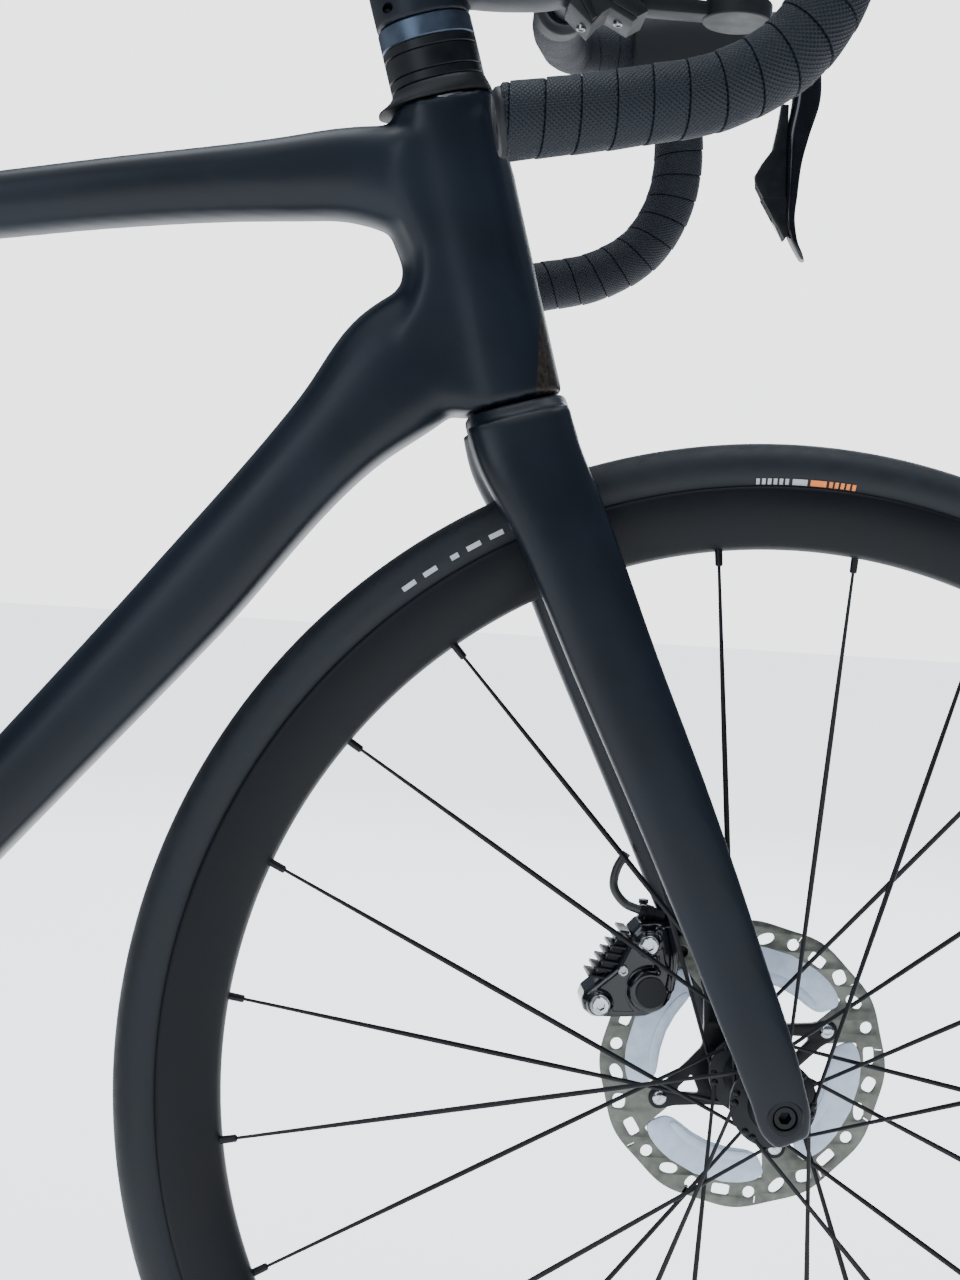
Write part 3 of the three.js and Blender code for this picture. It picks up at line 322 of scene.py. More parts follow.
def drilled(shell, *rooms):
    """A skin with sharp-edged holes."""
    body = bpy.data.objects.new("drilled", mesh_of("drilled", shell))
    tools = [bpy.data.objects.new("room", mesh_of("room", room, outward=True)) for room in rooms]
    for tool in tools:
        bpy.context.scene.collection.objects.link(tool)
    cuts = [("BOOLEAN", {"object": t, "operation": "DIFFERENCE", "solver": "EXACT"}) for t in tools]
    made = plain(body, *cuts)
    for tool in tools:
        bpy.data.objects.remove(tool)
    return made


def piece(name, shell, material, body, replaces=(), crease=35, bevel=0.0, strip=None):
    """One finished piece of the bicycle that rides on a body."""
    mesh = mesh_of(name, shell, MM, outward=True, strip=strip)
    mesh.materials.append(material)
    mesh.shade_smooth()
    mesh.set_sharp_from_angle(angle=math.radians(crease))
    obj = bpy.data.objects.new(name, mesh)
    bpy.context.scene.collection.objects.link(obj)
    if bevel:
        edge = obj.modifiers.new("edge", "BEVEL")
        edge.width, edge.segments, edge.limit_method = bevel * MM, 2, "ANGLE"
        edge.harden_normals = True
    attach(obj, body)
    if replaces:
        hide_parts(*replaces)
    return obj


# ---------------------------------------------------------------- node tools
def add(tree, kind, inputs=None, **settings):
    """Adds a node with its settings, and its inputs as values or as links from other nodes' outputs."""
    node = tree.nodes.new(kind)
    for key, value in settings.items():
        setattr(node, key, value)
    for key, value in (inputs or {}).items():
        socket = node.inputs[key]
        if isinstance(value, bpy.types.NodeSocket):
            tree.links.new(value, socket)
        else:
            socket.default_value = value
    return node


def paint(code):
    """An sRGB hex colour as linear light."""
    parts = [int(code[i : i + 2], 16) / 255 for i in (1, 3, 5)]
    return [c / 12.92 if c <= 0.04045 else ((c + 0.055) / 1.055) ** 2.4 for c in parts] + [1.0]


def tree_of(name, inputs):
    """An empty geometry tree with named inputs, and its first and last nodes."""
    tree = bpy.data.node_groups.new(name, "GeometryNodeTree")
    sides = tree.interface
    sides.new_socket("Geometry", in_out="INPUT", socket_type="NodeSocketGeometry")
    for label, kind in inputs.items():
        sides.new_socket(label, in_out="INPUT", socket_type="NodeSocket" + kind)
    sides.new_socket("Geometry", in_out="OUTPUT", socket_type="NodeSocketGeometry")
    return tree, tree.nodes.new("NodeGroupInput").outputs, tree.nodes.new("NodeGroupOutput")


def close_tree(tree, instances, material, end):
    """Ends a tree: instances are made real and take their material."""
    real = add(tree, "GeometryNodeRealizeInstances", {"Geometry": instances}).outputs[0]
    done = add(tree, "GeometryNodeSetMaterial", {"Geometry": real, "Material": material})
    tree.links.new(done.outputs[0], end.inputs[0])
    return tree


def round_tree():
    """Copies what it is given round the Y axis."""
    tree, given, end = tree_of("round", {"Count": "Int", "First Angle": "Float", "Material": "Material"})
    spots = add(tree, "GeometryNodePoints", {"Count": given["Count"]}).outputs[0]
    index = add(tree, "GeometryNodeInputIndex").outputs[0]
    share = add(tree, "ShaderNodeMath", {0: index, 1: given["Count"]}, operation="DIVIDE").outputs[0]
    sweep = add(tree, "ShaderNodeMath", {0: share, 1: -2 * math.pi}, operation="MULTIPLY").outputs[0]
    angle = add(tree, "ShaderNodeMath", {0: sweep, 1: given["First Angle"]},
                operation="SUBTRACT").outputs[0]
    spin = add(tree, "ShaderNodeCombineXYZ", {"Y": angle}).outputs[0]
    copies = add(
        tree,
        "GeometryNodeInstanceOnPoints",
        {"Points": spots, "Instance": given["Geometry"], "Rotation": spin},
    ).outputs[0]
    return close_tree(tree, copies, given["Material"], end)


def line_tree():
    """Sets copies of an item at even steps along the line that it is given, every Nth of them from First."""
    tree, given, end = tree_of(
        "along line",
        {"Item": "Object", "Count": "Int", "Every": "Int", "First": "Int", "Sag": "Vector",
         "Material": "Material"},
    )
    path = add(tree, "GeometryNodeMeshToCurve", {"Mesh": given["Geometry"]}).outputs[0]
    spots = add(tree, "GeometryNodeResampleCurve", {"Curve": path, "Count": given["Count"]}).outputs[0]
    way = add(tree, "GeometryNodeInputTangent").outputs[0]
    spin = add(
        tree,
        "FunctionNodeAxesToRotation",
        {"Primary Axis": way, "Secondary Axis": given["Sag"]},
        primary_axis="X",
        secondary_axis="Y",
    ).outputs[0]
    index = add(tree, "GeometryNodeInputIndex").outputs[0]
    left = add(tree, "ShaderNodeMath", {0: index, 1: given["Every"]}, operation="MODULO").outputs[0]
    picked = add(tree, "ShaderNodeMath", {0: left, 1: given["First"], 2: 0.5},
                 operation="COMPARE").outputs[0]
    item = add(tree, "GeometryNodeObjectInfo", {"Object": given["Item"]}).outputs["Geometry"]
    copies = add(
        tree,
        "GeometryNodeInstanceOnPoints",
        {"Points": spots, "Instance": item, "Rotation": spin, "Selection": picked},
    ).outputs[0]
    return close_tree(tree, copies, given["Material"], end)


def scatter_tree():
    """Scatters fine hairs over what it is given, standing out from it."""
    tree, given, end = tree_of(
        "hairs", {"Item": "Object", "Density": "Float", "Seed": "Int", "Material": "Material"}
    )
    spots = add(
        tree,
        "GeometryNodeDistributePointsOnFaces",
        {"Mesh": given["Geometry"], "Density": given["Density"], "Seed": given["Seed"]},
    )
    item = add(tree, "GeometryNodeObjectInfo", {"Object": given["Item"]}).outputs["Geometry"]
    size = add(
        tree, "FunctionNodeRandomValue", {2: 0.5, 3: 1.0, "Seed": given["Seed"]}, data_type="FLOAT"
    ).outputs[1]
    copies = add(
        tree,
        "GeometryNodeInstanceOnPoints",
        {
            "Points": spots.outputs["Points"],
            "Instance": item,
            "Rotation": spots.outputs["Rotation"],
            "Scale": size,
        },
    ).outputs[0]
    return close_tree(tree, copies, given["Material"], end)


ROUND, LINE, SCATTER = round_tree(), line_tree(), scatter_tree()


def grown(tree, mesh, **values):
    """The points and faces that a tree makes from a mesh."""
    obj = bpy.data.objects.new("grown", mesh)
    bpy.context.scene.collection.objects.link(obj)
    modifier = obj.modifiers.new("grown", "NODES")
    modifier.node_group = tree
    for item in tree.interface.items_tree:
        key = item.name.replace(" ", "_").lower()
        if item.in_out == "INPUT" and key in values:
            modifier[item.identifier] = values[key]
    return plain(obj)


def around(shell, count, first=0.0, material=None):
    """Copies of a shell round the Y axis through the origin."""
    mesh = mesh_of("item", shell, weld=0)
    return grown(ROUND, mesh, count=count, first_angle=math.radians(first), material=material)


def moved(shell, by):
    """A shell shifted by three distances."""
    return shell[0] + np.asarray(by), shell[1]


def along(line, item, count, material, every=1, first=0, sag=(0, 1, 0), closed=False):
    """Copies of an item at even steps along a line of points."""
    mesh = bpy.data.meshes.new("line")
    edges = [(i, i + 1) for i in range(len(line) - 1)] + ([(len(line) - 1, 0)] if closed else [])
    mesh.from_pydata([list(p) for p in line], edges, [])
    pattern = bpy.data.objects.new("item", mesh_of("item", item, weld=0))
    bpy.context.scene.collection.objects.link(pattern)
    made = grown(
        LINE, mesh, item=pattern, count=count, every=every, first=first, sag=sag, material=material
    )
    bpy.data.objects.remove(pattern)
    return made


# ---------------------------------------------------------------- camera, floor and light
def camera():
    """The fixed camera: its place, the way it looks and its lens."""
    right = Vector((0.99628, -0.05748, 0.06424))
    down = Vector((0.06278, -0.02692, -0.99766))
    ahead = Vector((0.05908, 0.99798, -0.02321))
    data = bpy.data.cameras.new("camera")
    data.lens, data.sensor_width = 49.17, 36
    data.clip_start, data.clip_end = 0.05, 80
    obj = bpy.data.objects.new("camera", data)
    turned = Matrix((right, -down, -ahead)).transposed().to_4x4()
    obj.matrix_world = Matrix.Translation(Vector(at(-216.9, 247.3, -909.7) * MM)) @ turned
    bpy.context.scene.collection.objects.link(obj)
    bpy.context.scene.camera = obj


def studio():
    """A pale floor without an edge, and a room that is bright above and behind and dim on the near side."""
    world = bpy.data.worlds.new("studio")
    bpy.context.scene.world = world
    world.use_nodes = True
    tree = world.node_tree
    tree.nodes.clear()
    way = add(tree, "ShaderNodeTexCoord").outputs["Generated"]
    split = add(tree, "ShaderNodeSeparateXYZ", {0: way}).outputs
    ramp = add(tree, "ShaderNodeValToRGB", {0: add(
        tree, "ShaderNodeMapRange", {"Value": split["Z"], "From Min": -1.0, "From Max": 1.0}
    ).outputs[0]})
    stops = ramp.color_ramp.elements
    stops[0].position, stops[0].color = 0.0, (0.16, 0.13, 0.11, 1)
    stops[1].position, stops[1].color = 1.0, (0.90, 1.00, 1.12, 1)
    for place, colour in ((0.47, (0.11, 0.12, 0.14, 1)), (0.62, (0.20, 0.24, 0.30, 1)),
                          (0.8, (0.5, 0.58, 0.7, 1))):
        stop = stops.new(place)
        stop.color = colour
    room = add(tree, "ShaderNodeBackground", {"Color": ramp.outputs[0], "Strength": 0.8}).outputs[0]
    pale = add(tree, "ShaderNodeBackground",
               {"Color": (0.96, 0.97, 0.98, 1), "Strength": 3.0}).outputs[0]
    seen = add(tree, "ShaderNodeLightPath").outputs["Is Camera Ray"]
    mixed = add(tree, "ShaderNodeMixShader", {0: seen, 1: room, 2: pale}).outputs[0]
    add(tree, "ShaderNodeOutputWorld", {"Surface": mixed})

    mesh = bpy.data.meshes.new("floor")
    half = 30
    mesh.from_pydata([(-half, -half, 0), (half, -half, 0), (half, half, 0), (-half, half, 0)], [],
                     [(0, 1, 2, 3)])
    floor = bpy.data.objects.new("floor", mesh)
    floor.data.materials.append(finish("matte_white_floor", ("#f2f2f2", "#eeefef"), (0.8, 0.9), 400))
    shader = floor.data.materials[0].node_tree.nodes["Principled BSDF"]
    shader.inputs["Specular IOR Level"].default_value = 0.0
    shader.inputs["Emission Color"].default_value = (0.95, 0.96, 0.97, 1)
    shader.inputs["Emission Strength"].default_value = 1.7
    bpy.context.scene.collection.objects.link(floor)

    def lamp(name, place, target, size, power, colour):
        """One soft rectangular light aimed at a place."""
        data = bpy.data.lights.new(name, "AREA")
        data.shape, data.size, data.size_y = "RECTANGLE", size[0], size[1]
        data.energy, data.color = power, colour
        obj = bpy.data.objects.new(name, data)
        obj.location = place
        obj.rotation_euler = (Vector(target) - Vector(place)).to_track_quat("-Z", "Y").to_euler()
        bpy.context.scene.collection.objects.link(obj)

    lamp("overhead", (0.3, 0.2, 3.2), (0.2, 0, 0.4), (3.0, 1.6), 60, (0.86, 0.93, 1.0))
    lamp("window", (-1.6, -3.2, 1.9), (0.1, 0, 0.6), (1.6, 1.6), 42, (0.80, 0.90, 1.0))
    lamp("far_side", (1.2, 3.0, 2.0), (0, 0, 0.5), (2.5, 1.2), 40, (0.9, 0.95, 1.0))
    sky = bpy.data.lights.new("soft_sun", "SUN")
    sky.energy, sky.angle, sky.color = 1.1, math.radians(60), (0.95, 0.97, 1.0)
    sun = bpy.data.objects.new("soft_sun", sky)
    sun.rotation_euler = (math.radians(18), math.radians(-12), 0)
    bpy.context.scene.collection.objects.link(sun)


# ---------------------------------------------------------------- materials
def finish(name, colours, rough, cloud, grain=0.0, relief=0.0, metallic=0.0, **sockets):
    """A material whose colour and roughness drift between two values in clouds of a size in millimetres.
    grain and relief are the width and height of its fine bumps.
    Other values are set on the shader's own sockets."""
    material = bpy.data.materials.new(name)
    material.use_nodes = True
    tree = material.node_tree
    shader = tree.nodes["Principled BSDF"]
    shader.inputs["Metallic"].default_value = metallic
    for key, value in sockets.items():
        shader.inputs[key.replace("_", " ")].default_value = value
    place = add(tree, "ShaderNodeTexCoord").outputs["Object"]
    clouds = add(tree, "ShaderNodeTexNoise", {"Vector": place, "Scale": 1 / (cloud * MM), "Detail": 3.0})
    drift = add(
        tree,
        "ShaderNodeMapRange",
        {"Value": clouds.outputs[0], "From Min": 0.3, "From Max": 0.7},
    ).outputs[0]
    tint = add(
        tree, "ShaderNodeMix", {0: drift, 6: paint(colours[0]), 7: paint(colours[1])}, data_type="RGBA"
    ).outputs[2]
    gloss = add(
        tree, "ShaderNodeMapRange", {"Value": drift, "To Min": rough[0], "To Max": rough[1]}
    ).outputs[0]
    tree.links.new(tint, shader.inputs["Base Color"])
    tree.links.new(gloss, shader.inputs["Roughness"])
    if grain:
        bumps = add(tree, "ShaderNodeTexNoise",
                    {"Vector": place, "Scale": 1 / (grain * MM), "Detail": 2.0})
        lift = add(
            tree,
            "ShaderNodeBump",
            {"Height": bumps.outputs[0], "Distance": relief * MM, "Strength": 1.0},
        ).outputs[0]
        tree.links.new(lift, shader.inputs["Normal"])
    return material


def inputs_of(material):
    """A material's tree and shader, and what now feeds the shader's colour."""
    tree = material.node_tree
    shader = tree.nodes["Principled BSDF"]
    return tree, shader, shader.inputs["Base Color"].links[0].from_socket


def masked(material, mask, colour):
    """Mixes another colour into a material where the mask is 1."""
    tree, shader, base = inputs_of(material)
    mixed = add(tree, "ShaderNodeMix", {0: mask, 6: base, 7: colour}, data_type="RGBA").outputs[2]
    tree.links.new(mixed, shader.inputs["Base Color"])


def raised(material, height, distance):
    """Adds a relief of a height in millimetres over a material's fine bumps."""
    tree, shader, _ = inputs_of(material)
    lift = {"Height": height, "Distance": distance * MM, "Strength": 1.0}
    if shader.inputs["Normal"].links:
        lift["Normal"] = shader.inputs["Normal"].links[0].from_socket
    tree.links.new(add(tree, "ShaderNodeBump", lift).outputs[0], shader.inputs["Normal"])


# Carbon laminate under satin lacquer, moulded: deep navy-black, wide soft highlights,
# a faint ripple of resin.
carbon = finish(
    "satin_lacquered_carbon", ("#070c13", "#0b121c"), (0.33, 0.40), 60, 1.2, 0.006,
    Specular_IOR_Level=0.22
)


def bare_patch(material):
    """The front of the head tube shows its forged carbon chips, ahead of a plane across the frame."""
    tree, _, _ = inputs_of(material)
    place = add(tree, "ShaderNodeTexCoord").outputs["Object"]
    split = add(tree, "ShaderNodeSeparateXYZ", {0: place}).outputs
    ahead = add(tree, "ShaderNodeMath", {0: split["X"], 1: at(-144, 0)[0] * MM},
                operation="GREATER_THAN").outputs[0]
    below = add(tree, "ShaderNodeMath", {0: split["Z"], 1: at(0, 405)[2] * MM},
                operation="LESS_THAN").outputs[0]
    mask = add(tree, "ShaderNodeMath", {0: ahead, 1: below}, operation="MULTIPLY").outputs[0]
    chips = add(tree, "ShaderNodeTexVoronoi",
                {"Vector": place, "Scale": 1 / (1.6 * MM)}).outputs["Color"]
    shade = add(tree, "ShaderNodeSeparateColor", {0: chips}).outputs[0]
    tone = add(
        tree, "ShaderNodeMix", {0: shade, 6: paint("#0f0c0a"), 7: paint("#2a231e")}, data_type="RGBA"
    ).outputs[2]
    masked(material, mask, tone)


frame_carbon = carbon.copy()
frame_carbon.name = "satin_carbon_with_bare_patch"
bare_patch(frame_carbon)
# The same laminate on the rims and the one-piece bar, a little duller.
rim_carbon = finish(
    "matte_moulded_carbon", ("#05070b", "#080b10"), (0.40, 0.50), 40, 0.9, 0.005, Specular_IOR_Level=0.16
)
bar_carbon = finish("satin_bar_carbon", ("#080c13", "#0c121a"), (0.36, 0.46), 30, 1.0, 0.006,
                    Specular_IOR_Level=0.2)
# Glass-filled nylon, injection moulded: the headset cover, dull with a fine grain.
cover_plastic = finish(
    "moulded_glass_nylon_cover", ("#0c0d10", "#131314"), (0.45, 0.55), 12, 0.6, 0.01,
    Specular_IOR_Level=0.25
)
# Gloss moulded plastic and painted alloy: sharp reflections with slight waves.
gloss_black = finish("gloss_black_paint", ("#050609", "#090b10"), (0.10, 0.18), 14, 3.0, 0.004,
                     Specular_IOR_Level=0.4)
# Aluminium, machined and black anodised: a soft sheen that darkens at the edges of view.
satin_black = finish(
    "satin_anodised_aluminium", ("#0a0b0e", "#101216"), (0.32, 0.42), 8, 0.5, 0.003, metallic=0.3,
    Specular_IOR_Level=0.25
)
# Nylon, injection moulded: plugs, caps and jockey wheels, with an even dull grain.
moulded_black = finish("moulded_nylon", ("#0a0b0e", "#0f1114"), (0.42, 0.55), 10, 0.5, 0.012,
                       Specular_IOR_Level=0.25)
# Aluminium, turned and anodised blue-grey: the one coloured spacer.
blue_alloy = finish(
    "blue_grey_anodised_aluminium", ("#363f4c", "#434d5b"), (0.28, 0.38), 9, 0.4, 0.002, metallic=0.8
)
# Stainless steel, ground flat: mid grey with fine marks.
rotor_steel = finish("ground_stainless_steel", ("#4e514d", "#64665f"), (0.30, 0.42), 5, 0.35, 0.004,
                     metallic=0.85)
# Stainless steel, drawn and polished: bright and smooth, for the saddle rails.
polished_steel = finish("polished_stainless_steel", ("#9da1a5", "#b4b8bc"), (0.12, 0.2), 6, metallic=1.0)
# Aluminium, stamped and bead blasted: pale, cool and without clear reflections.
blasted_alloy = finish(
    "bead_blasted_aluminium", ("#a9b6c8", "#bcc7d6"), (0.5, 0.6), 6, 0.3, 0.01, metallic=0.35
)
# Steel, cold forged and nickel plated: bolts, pins and the valve.
plated_steel = finish("nickel_plated_steel", ("#7d7f80", "#9b9d9e"), (0.24, 0.36), 4, 0.4, 0.003,
                      metallic=1.0)
# Aluminium, turned on a lathe and left bare: axles and inner faces.
ground_alloy = finish("machined_aluminium", ("#8d9093", "#a6a9ac"), (0.25, 0.38), 5, 0.5, 0.003,
                      metallic=1.0)
# Rubber, moulded in a matt tool: no clear reflections, fine grain.
hood_rubber = finish("moulded_silicone_rubber", ("#0d0f12", "#121417"), (0.62, 0.74), 9, 0.7, 0.03,
                     Specular_IOR_Level=0.25)
tyre_rubber = finish("vulcanised_rubber", ("#0f1318", "#151a20"), (0.52, 0.66), 11, 0.8, 0.02,
                     Specular_IOR_Level=0.25)
# Nylon, extruded: the brake hose, smoother than the rubber parts.
hose_rubber = finish("nylon_hose", ("#101114", "#16181b"), (0.35, 0.45), 8, 0.5, 0.004)
# Microfibre leather, stretched over foam: a close nap that lightens at glancing angles.
saddle_cover = finish("microfibre_leather", ("#0c0e11", "#121418"), (0.5, 0.62), 7, 0.5, 0.03,
                      Sheen_Weight=0.15)
# Polyurethane on a foam backing, pressed with dots and wound on under tension.
tape_cover = finish("polyurethane_tape", ("#06090e", "#0a0f16"), (0.52, 0.62), 14, 0.5, 0.01,
                    Specular_IOR_Level=0.25)
# Ink, screen printed on the tyre: flat and even.
grey_print = finish("grey_screen_print", ("#8c9094", "#a5a8ab"), (0.5, 0.6), 5)
orange_print = finish("orange_screen_print", ("#c8641c", "#dd7a2a"), (0.5, 0.6), 5)


def tape_dots(material):
    """Embossed dots 1.9 mm apart in diagonal rows, from the piece's own map in metres, with painted shade in
    the pits.
    """
    tree, _, _ = inputs_of(material)
    flat = add(tree, "ShaderNodeUVMap", uv_map="strip").outputs[0]
    slant = add(tree, "ShaderNodeMapping",
                {"Vector": flat, "Rotation": (0, 0, math.radians(45))}).outputs[0]
    dots = add(
        tree,
        "ShaderNodeTexVoronoi",
        {"Vector": slant, "Scale": 1 / (1.55 * MM), "Randomness": 0.0},
        voronoi_dimensions="2D",
    ).outputs["Distance"]
    pit = add(
        tree,
        "ShaderNodeMapRange",
        {"Value": dots, "From Min": 0.2, "From Max": 0.55},
        interpolation_type="SMOOTHSTEP",
    ).outputs[0]
    raised(material, pit, 0.35)
    # Painted shade: the raised tape between the dots is lightened to a paler blue-grey while the pits keep
    # the darker base colour.
    painted_pit_shade = add(tree, "ShaderNodeMath", {0: pit, 1: 0.35}, operation="MULTIPLY").outputs[0]
    masked(material, painted_pit_shade, paint("#172130"))


def tyre_cuts(material):
    """Slanted cuts 0.9 mm wide every 17 mm across each shoulder, with painted shade in them."""
    tree, _, _ = inputs_of(material)
    flat = add(tree, "ShaderNodeUVMap", uv_map="strip").outputs[0]
    split = add(tree, "ShaderNodeSeparateXYZ", {0: flat}).outputs
    side = add(tree, "ShaderNodeMath", {0: split["Y"]}, operation="ABSOLUTE").outputs[0]
    slant = add(tree, "ShaderNodeMath", {0: side, 1: 1.9, 2: split["X"]},
                operation="MULTIPLY_ADD").outputs[0]
    step = add(tree, "ShaderNodeMath", {0: slant, 1: 17 * MM}, operation="FLOORED_MODULO").outputs[0]
    near = add(tree, "ShaderNodeMath", {0: step, 1: 0.9 * MM}, operation="LESS_THAN").outputs[0]
    low = add(tree, "ShaderNodeMath", {0: side, 1: 6 * MM}, operation="GREATER_THAN").outputs[0]
    high = add(tree, "ShaderNodeMath", {0: side, 1: 13 * MM}, operation="LESS_THAN").outputs[0]
    both = add(tree, "ShaderNodeMath", {0: low, 1: high}, operation="MULTIPLY").outputs[0]
    cuts = add(tree, "ShaderNodeMath", {0: near, 1: both}, operation="MULTIPLY").outputs[0]
    depth = add(tree, "ShaderNodeMath", {0: cuts, 1: -1.0}, operation="MULTIPLY").outputs[0]
    raised(material, depth, 0.5)
    # Painted shade: the cuts are coloured darker than the rubber around them.
    masked(material, cuts, paint("#0a0c10"))


tape_dots(tape_cover)
tyre_cuts(tyre_rubber)


camera()
studio()

# ---------------------------------------------------------------- frame
SEAT_LEAN = 16.5
HEAD_TUBE = 160
SEAT_TOP = 408
SADDLE_TOP = BRACKET[2] + 740 * math.cos(math.radians(SEAT_LEAN)) - FRONT_AXLE[2]
CLAMP_Z = SADDLE_TOP - 52


def on_seat_tube(z):
    """A place on the seat tube's axis at a height above the axles."""
    drop = BRACKET[2] - FRONT_AXLE[2]
    return at(BRACKET[0] - FRONT_AXLE[0] - (z - drop) * math.tan(math.radians(SEAT_LEAN)), z)


def frame_shells():
    """The tubes of the frame, each a little longer than it shows so that they fuse."""
    head = tube(
        [(steered(-6), HEAD_LEAN, 52.4, 51), (steered(45), HEAD_LEAN, 53.5, 49),
         (steered(110), HEAD_LEAN, 55, 47.5), (steered(HEAD_TUBE + 6), HEAD_LEAN, 54, 46.5)],
        40, 2.5, 48, -0.26,
    )
    top = tube(
        [(at(-196, 456), 99, 66, 42), (at(-220, 459), 99, 57, 43), (at(-245, 460.5), 100, 47.5, 43),
         (at(-280, 455.7), 101, 41, 41), (at(-371, 441.5), 101, 34, 38),
         (at(-421, 432.2), 101, 32.5, 36),
         (at(-712, 375), 101, 29, 28)],
        90, 2.7, 40, 0.15,
    )
    down = tube(
        [(at(-180, 396), -38, 56, 40), (at(-208, 368), -38, 70, 46), (at(-243.8, 328.1), -38, 53, 48),
         (at(-316, 236.5), -38, 48.8, 47), (at(-389, 148.3), -38, 45, 47), (at(-576, -72), -38, 42, 52)],
        90, 2.9, 48, 0.4,
    )
    block = tube(
        [(at(-197, 466), 0, 74, 38), (at(-187, 430), 0, 70, 41), (at(-180.5, 412), 0, 69.5, 42),
         (at(-184, 390), 0, 82, 43)],
        20, 2.6, 40,
    )
    seat = tube(
        [(on_seat_tube(-62), SEAT_LEAN, 42, 48), (on_seat_tube(20), SEAT_LEAN, 34, 35),
         (on_seat_tube(SEAT_TOP - 130), SEAT_LEAN, 36, 28), (on_seat_tube(SEAT_TOP), SEAT_LEAN, 39, 30)],
        60, 2.6, 40,
    )
    web = [(-226, 480), (-205, 492), (-176, 499), (-160, 440), (-146, 392), (-136, 350), (-171, 341),
           (-184, 342),
           (-200, 342), (-212, 350), (-222, 365), (-219, 382), (-212, 396), (-209.5, 409), (-211, 421),
           (-221, 440),
           (-229, 458)]
    web = cutout([[tuple(at(x, z)[[0, 2]]) for x, z in web]], -22.6, 22.6, 7)
    shells = [head, top, down, block, web, seat, disc(24, -40, 40, BRACKET, segments=48)]
    for side in (1, -1):
        chainstay = [
            (at(-590, -70, side * 18), 95, 38, 18), (at(-655, -66, side * 27), 98, 33, 14),
            (at(-700, -59, side * 32), 99, 29, 12), (at(-860, -25, side * 61), 99, 23, 10),
            (at(-984, -1, side * 75.8), 99, 27, 9.4),
        ]
        seatstay = [
            (at(-690, 340, side * 7), 135, 26, 14), (at(-745, 283, side * 16), 135, 20, 13),
            (at(-792, 233, side * 29), 135, 17, 10.5), (at(-900, 113, side * 58), 134, 16, 9.4),
            (at(-986, 14, side * 75.8), 134, 24, 9.4),
        ]
        shells += [tube(chainstay, 60, 2.6, 28), tube(seatstay, 60, 2.6, 28)]
        low, high = sorted((side * 71.3, side * 80.8))
        shells.append(disc(16.5, low, high, REAR_AXLE, edge=1.2))
    shells.append(tube([(at(-735, 309), 90, 34, 30), (at(-700, 312), 90, 38, 26)], 6, 4, 24))
    shells.append(tube([(at(-640, -70), 90, 30, 50), (at(-600, -70), 90, 34, 46)], 6, 4, 24))
    for z in (84.86, 146.22):
        foot = on_seat_tube(z)
        shells.append(disc(5.6, 10, 19.6, foot, turn(SEAT_LEAN), segments=24))
    for x, z in ((-439.6, 127.0), (-479.0, 76.57)):
        shells.append(disc(5.6, -12, 0.1, at(x, z), turn(142), segments=24))
    return shells


wheel_gap = disc(346, -15.5, 15.5, REAR_AXLE, segments=120)
head_ends = [spun([[0, low], [r, low], [r, high], [0, high]], CROWN, UP, 64) for low, high,
             r in ((-20, 0.9, 29), (160.2, 185, 29))]
frame_skin = fused(*frame_shells(), voxel=2.2, smooth=12, rooms=(wheel_gap, *head_ends))
frame_skin = drilled(
    frame_skin, disc(6.2, -100, 100, REAR_AXLE, segments=40), disc(20.8, -60, 60, BRACKET, segments=48)
)
piece("frame_carbon", frame_skin, frame_carbon, "frame", ("frame_main", "rear_triangle"),
      50)

for name, spot, way in (
    ("seat_tube_low", on_seat_tube(84.86), turn(SEAT_LEAN)),
    ("seat_tube_high", on_seat_tube(146.22), turn(SEAT_LEAN)),
    ("down_tube_high", at(-439.6, 127.0), turn(142)),
    ("down_tube_low", at(-479.0, 76.57), turn(142)),
):
    base = spot + way * (19.4 if "seat" in name else -0.1)
    piece("bottle_bolt_" + name, bolt(base, way, 4.4, 2.6, 2.0), plated_steel, "frame")

for name, side in SIDES.items():
    cup = spun(
        [[12.6, side * 28], [20, side * 28], [20.2, side * 40.3], [21.4, side * 40.4], [22, side * 40.9],
         [22, side * 41.8], [21.4, side * 42.2], [15, side * 42.2], [12.6, side * 41.4]],
        BRACKET, segments=64,
    )
    notch = disc(2.2, *sorted((side * 41.2, side * 43.2)), segments=20)
    notches = around(moved(notch, (22.4, 0, 0)), 12, material=satin_black)
    piece("bracket_cup_" + name, drilled(cup, moved(notches, BRACKET)), satin_black, "frame",
          ("bracket_cup_" + name,))

HANGER_BOLT = at(-999.2, -28)
hanger = [(-1006.5, -2), (-1002, -9), (-986, -13.5), (-979, -8), (-982, -16), (-989, -34), (-994, -38.5),
          (-1000, -39), (-1006, -35.5), (-1009.5, -29), (-1009, -22), (-1006, -12)]
hanger = [tuple(at(x, z)[[0, 2]]) for x, z in hanger]
piece("derailleur_hanger", cutout([hanger], -80.4, -73.2, 0.8), satin_black, "frame",
      ("derailleur_hanger",))


def axle_end(centre, half, name, body):
    """A through-axle with a six-sided key socket at each end."""
    a = np.arange(6) * math.pi / 3
    key = np.stack([3.4 * np.cos(a), 3.4 * np.sin(a)], 1)
    shell = disc(6, -half, half, centre, edge=0.6, segments=48)
    sockets = [
        cutout([[tuple(p + centre[[0, 2]]) for p in key]],
               *sorted((side * (half - 7), side * (half + 3))), 0.05)
        for side in (1, -1)
    ]
    piece(name, drilled(shell, *sockets), satin_black, body, (name,))


axle_end(FRONT_AXLE, 59, "front_thru_axle", "steered")
axle_end(REAR_AXLE, 80, "rear_thru_axle", "frame")

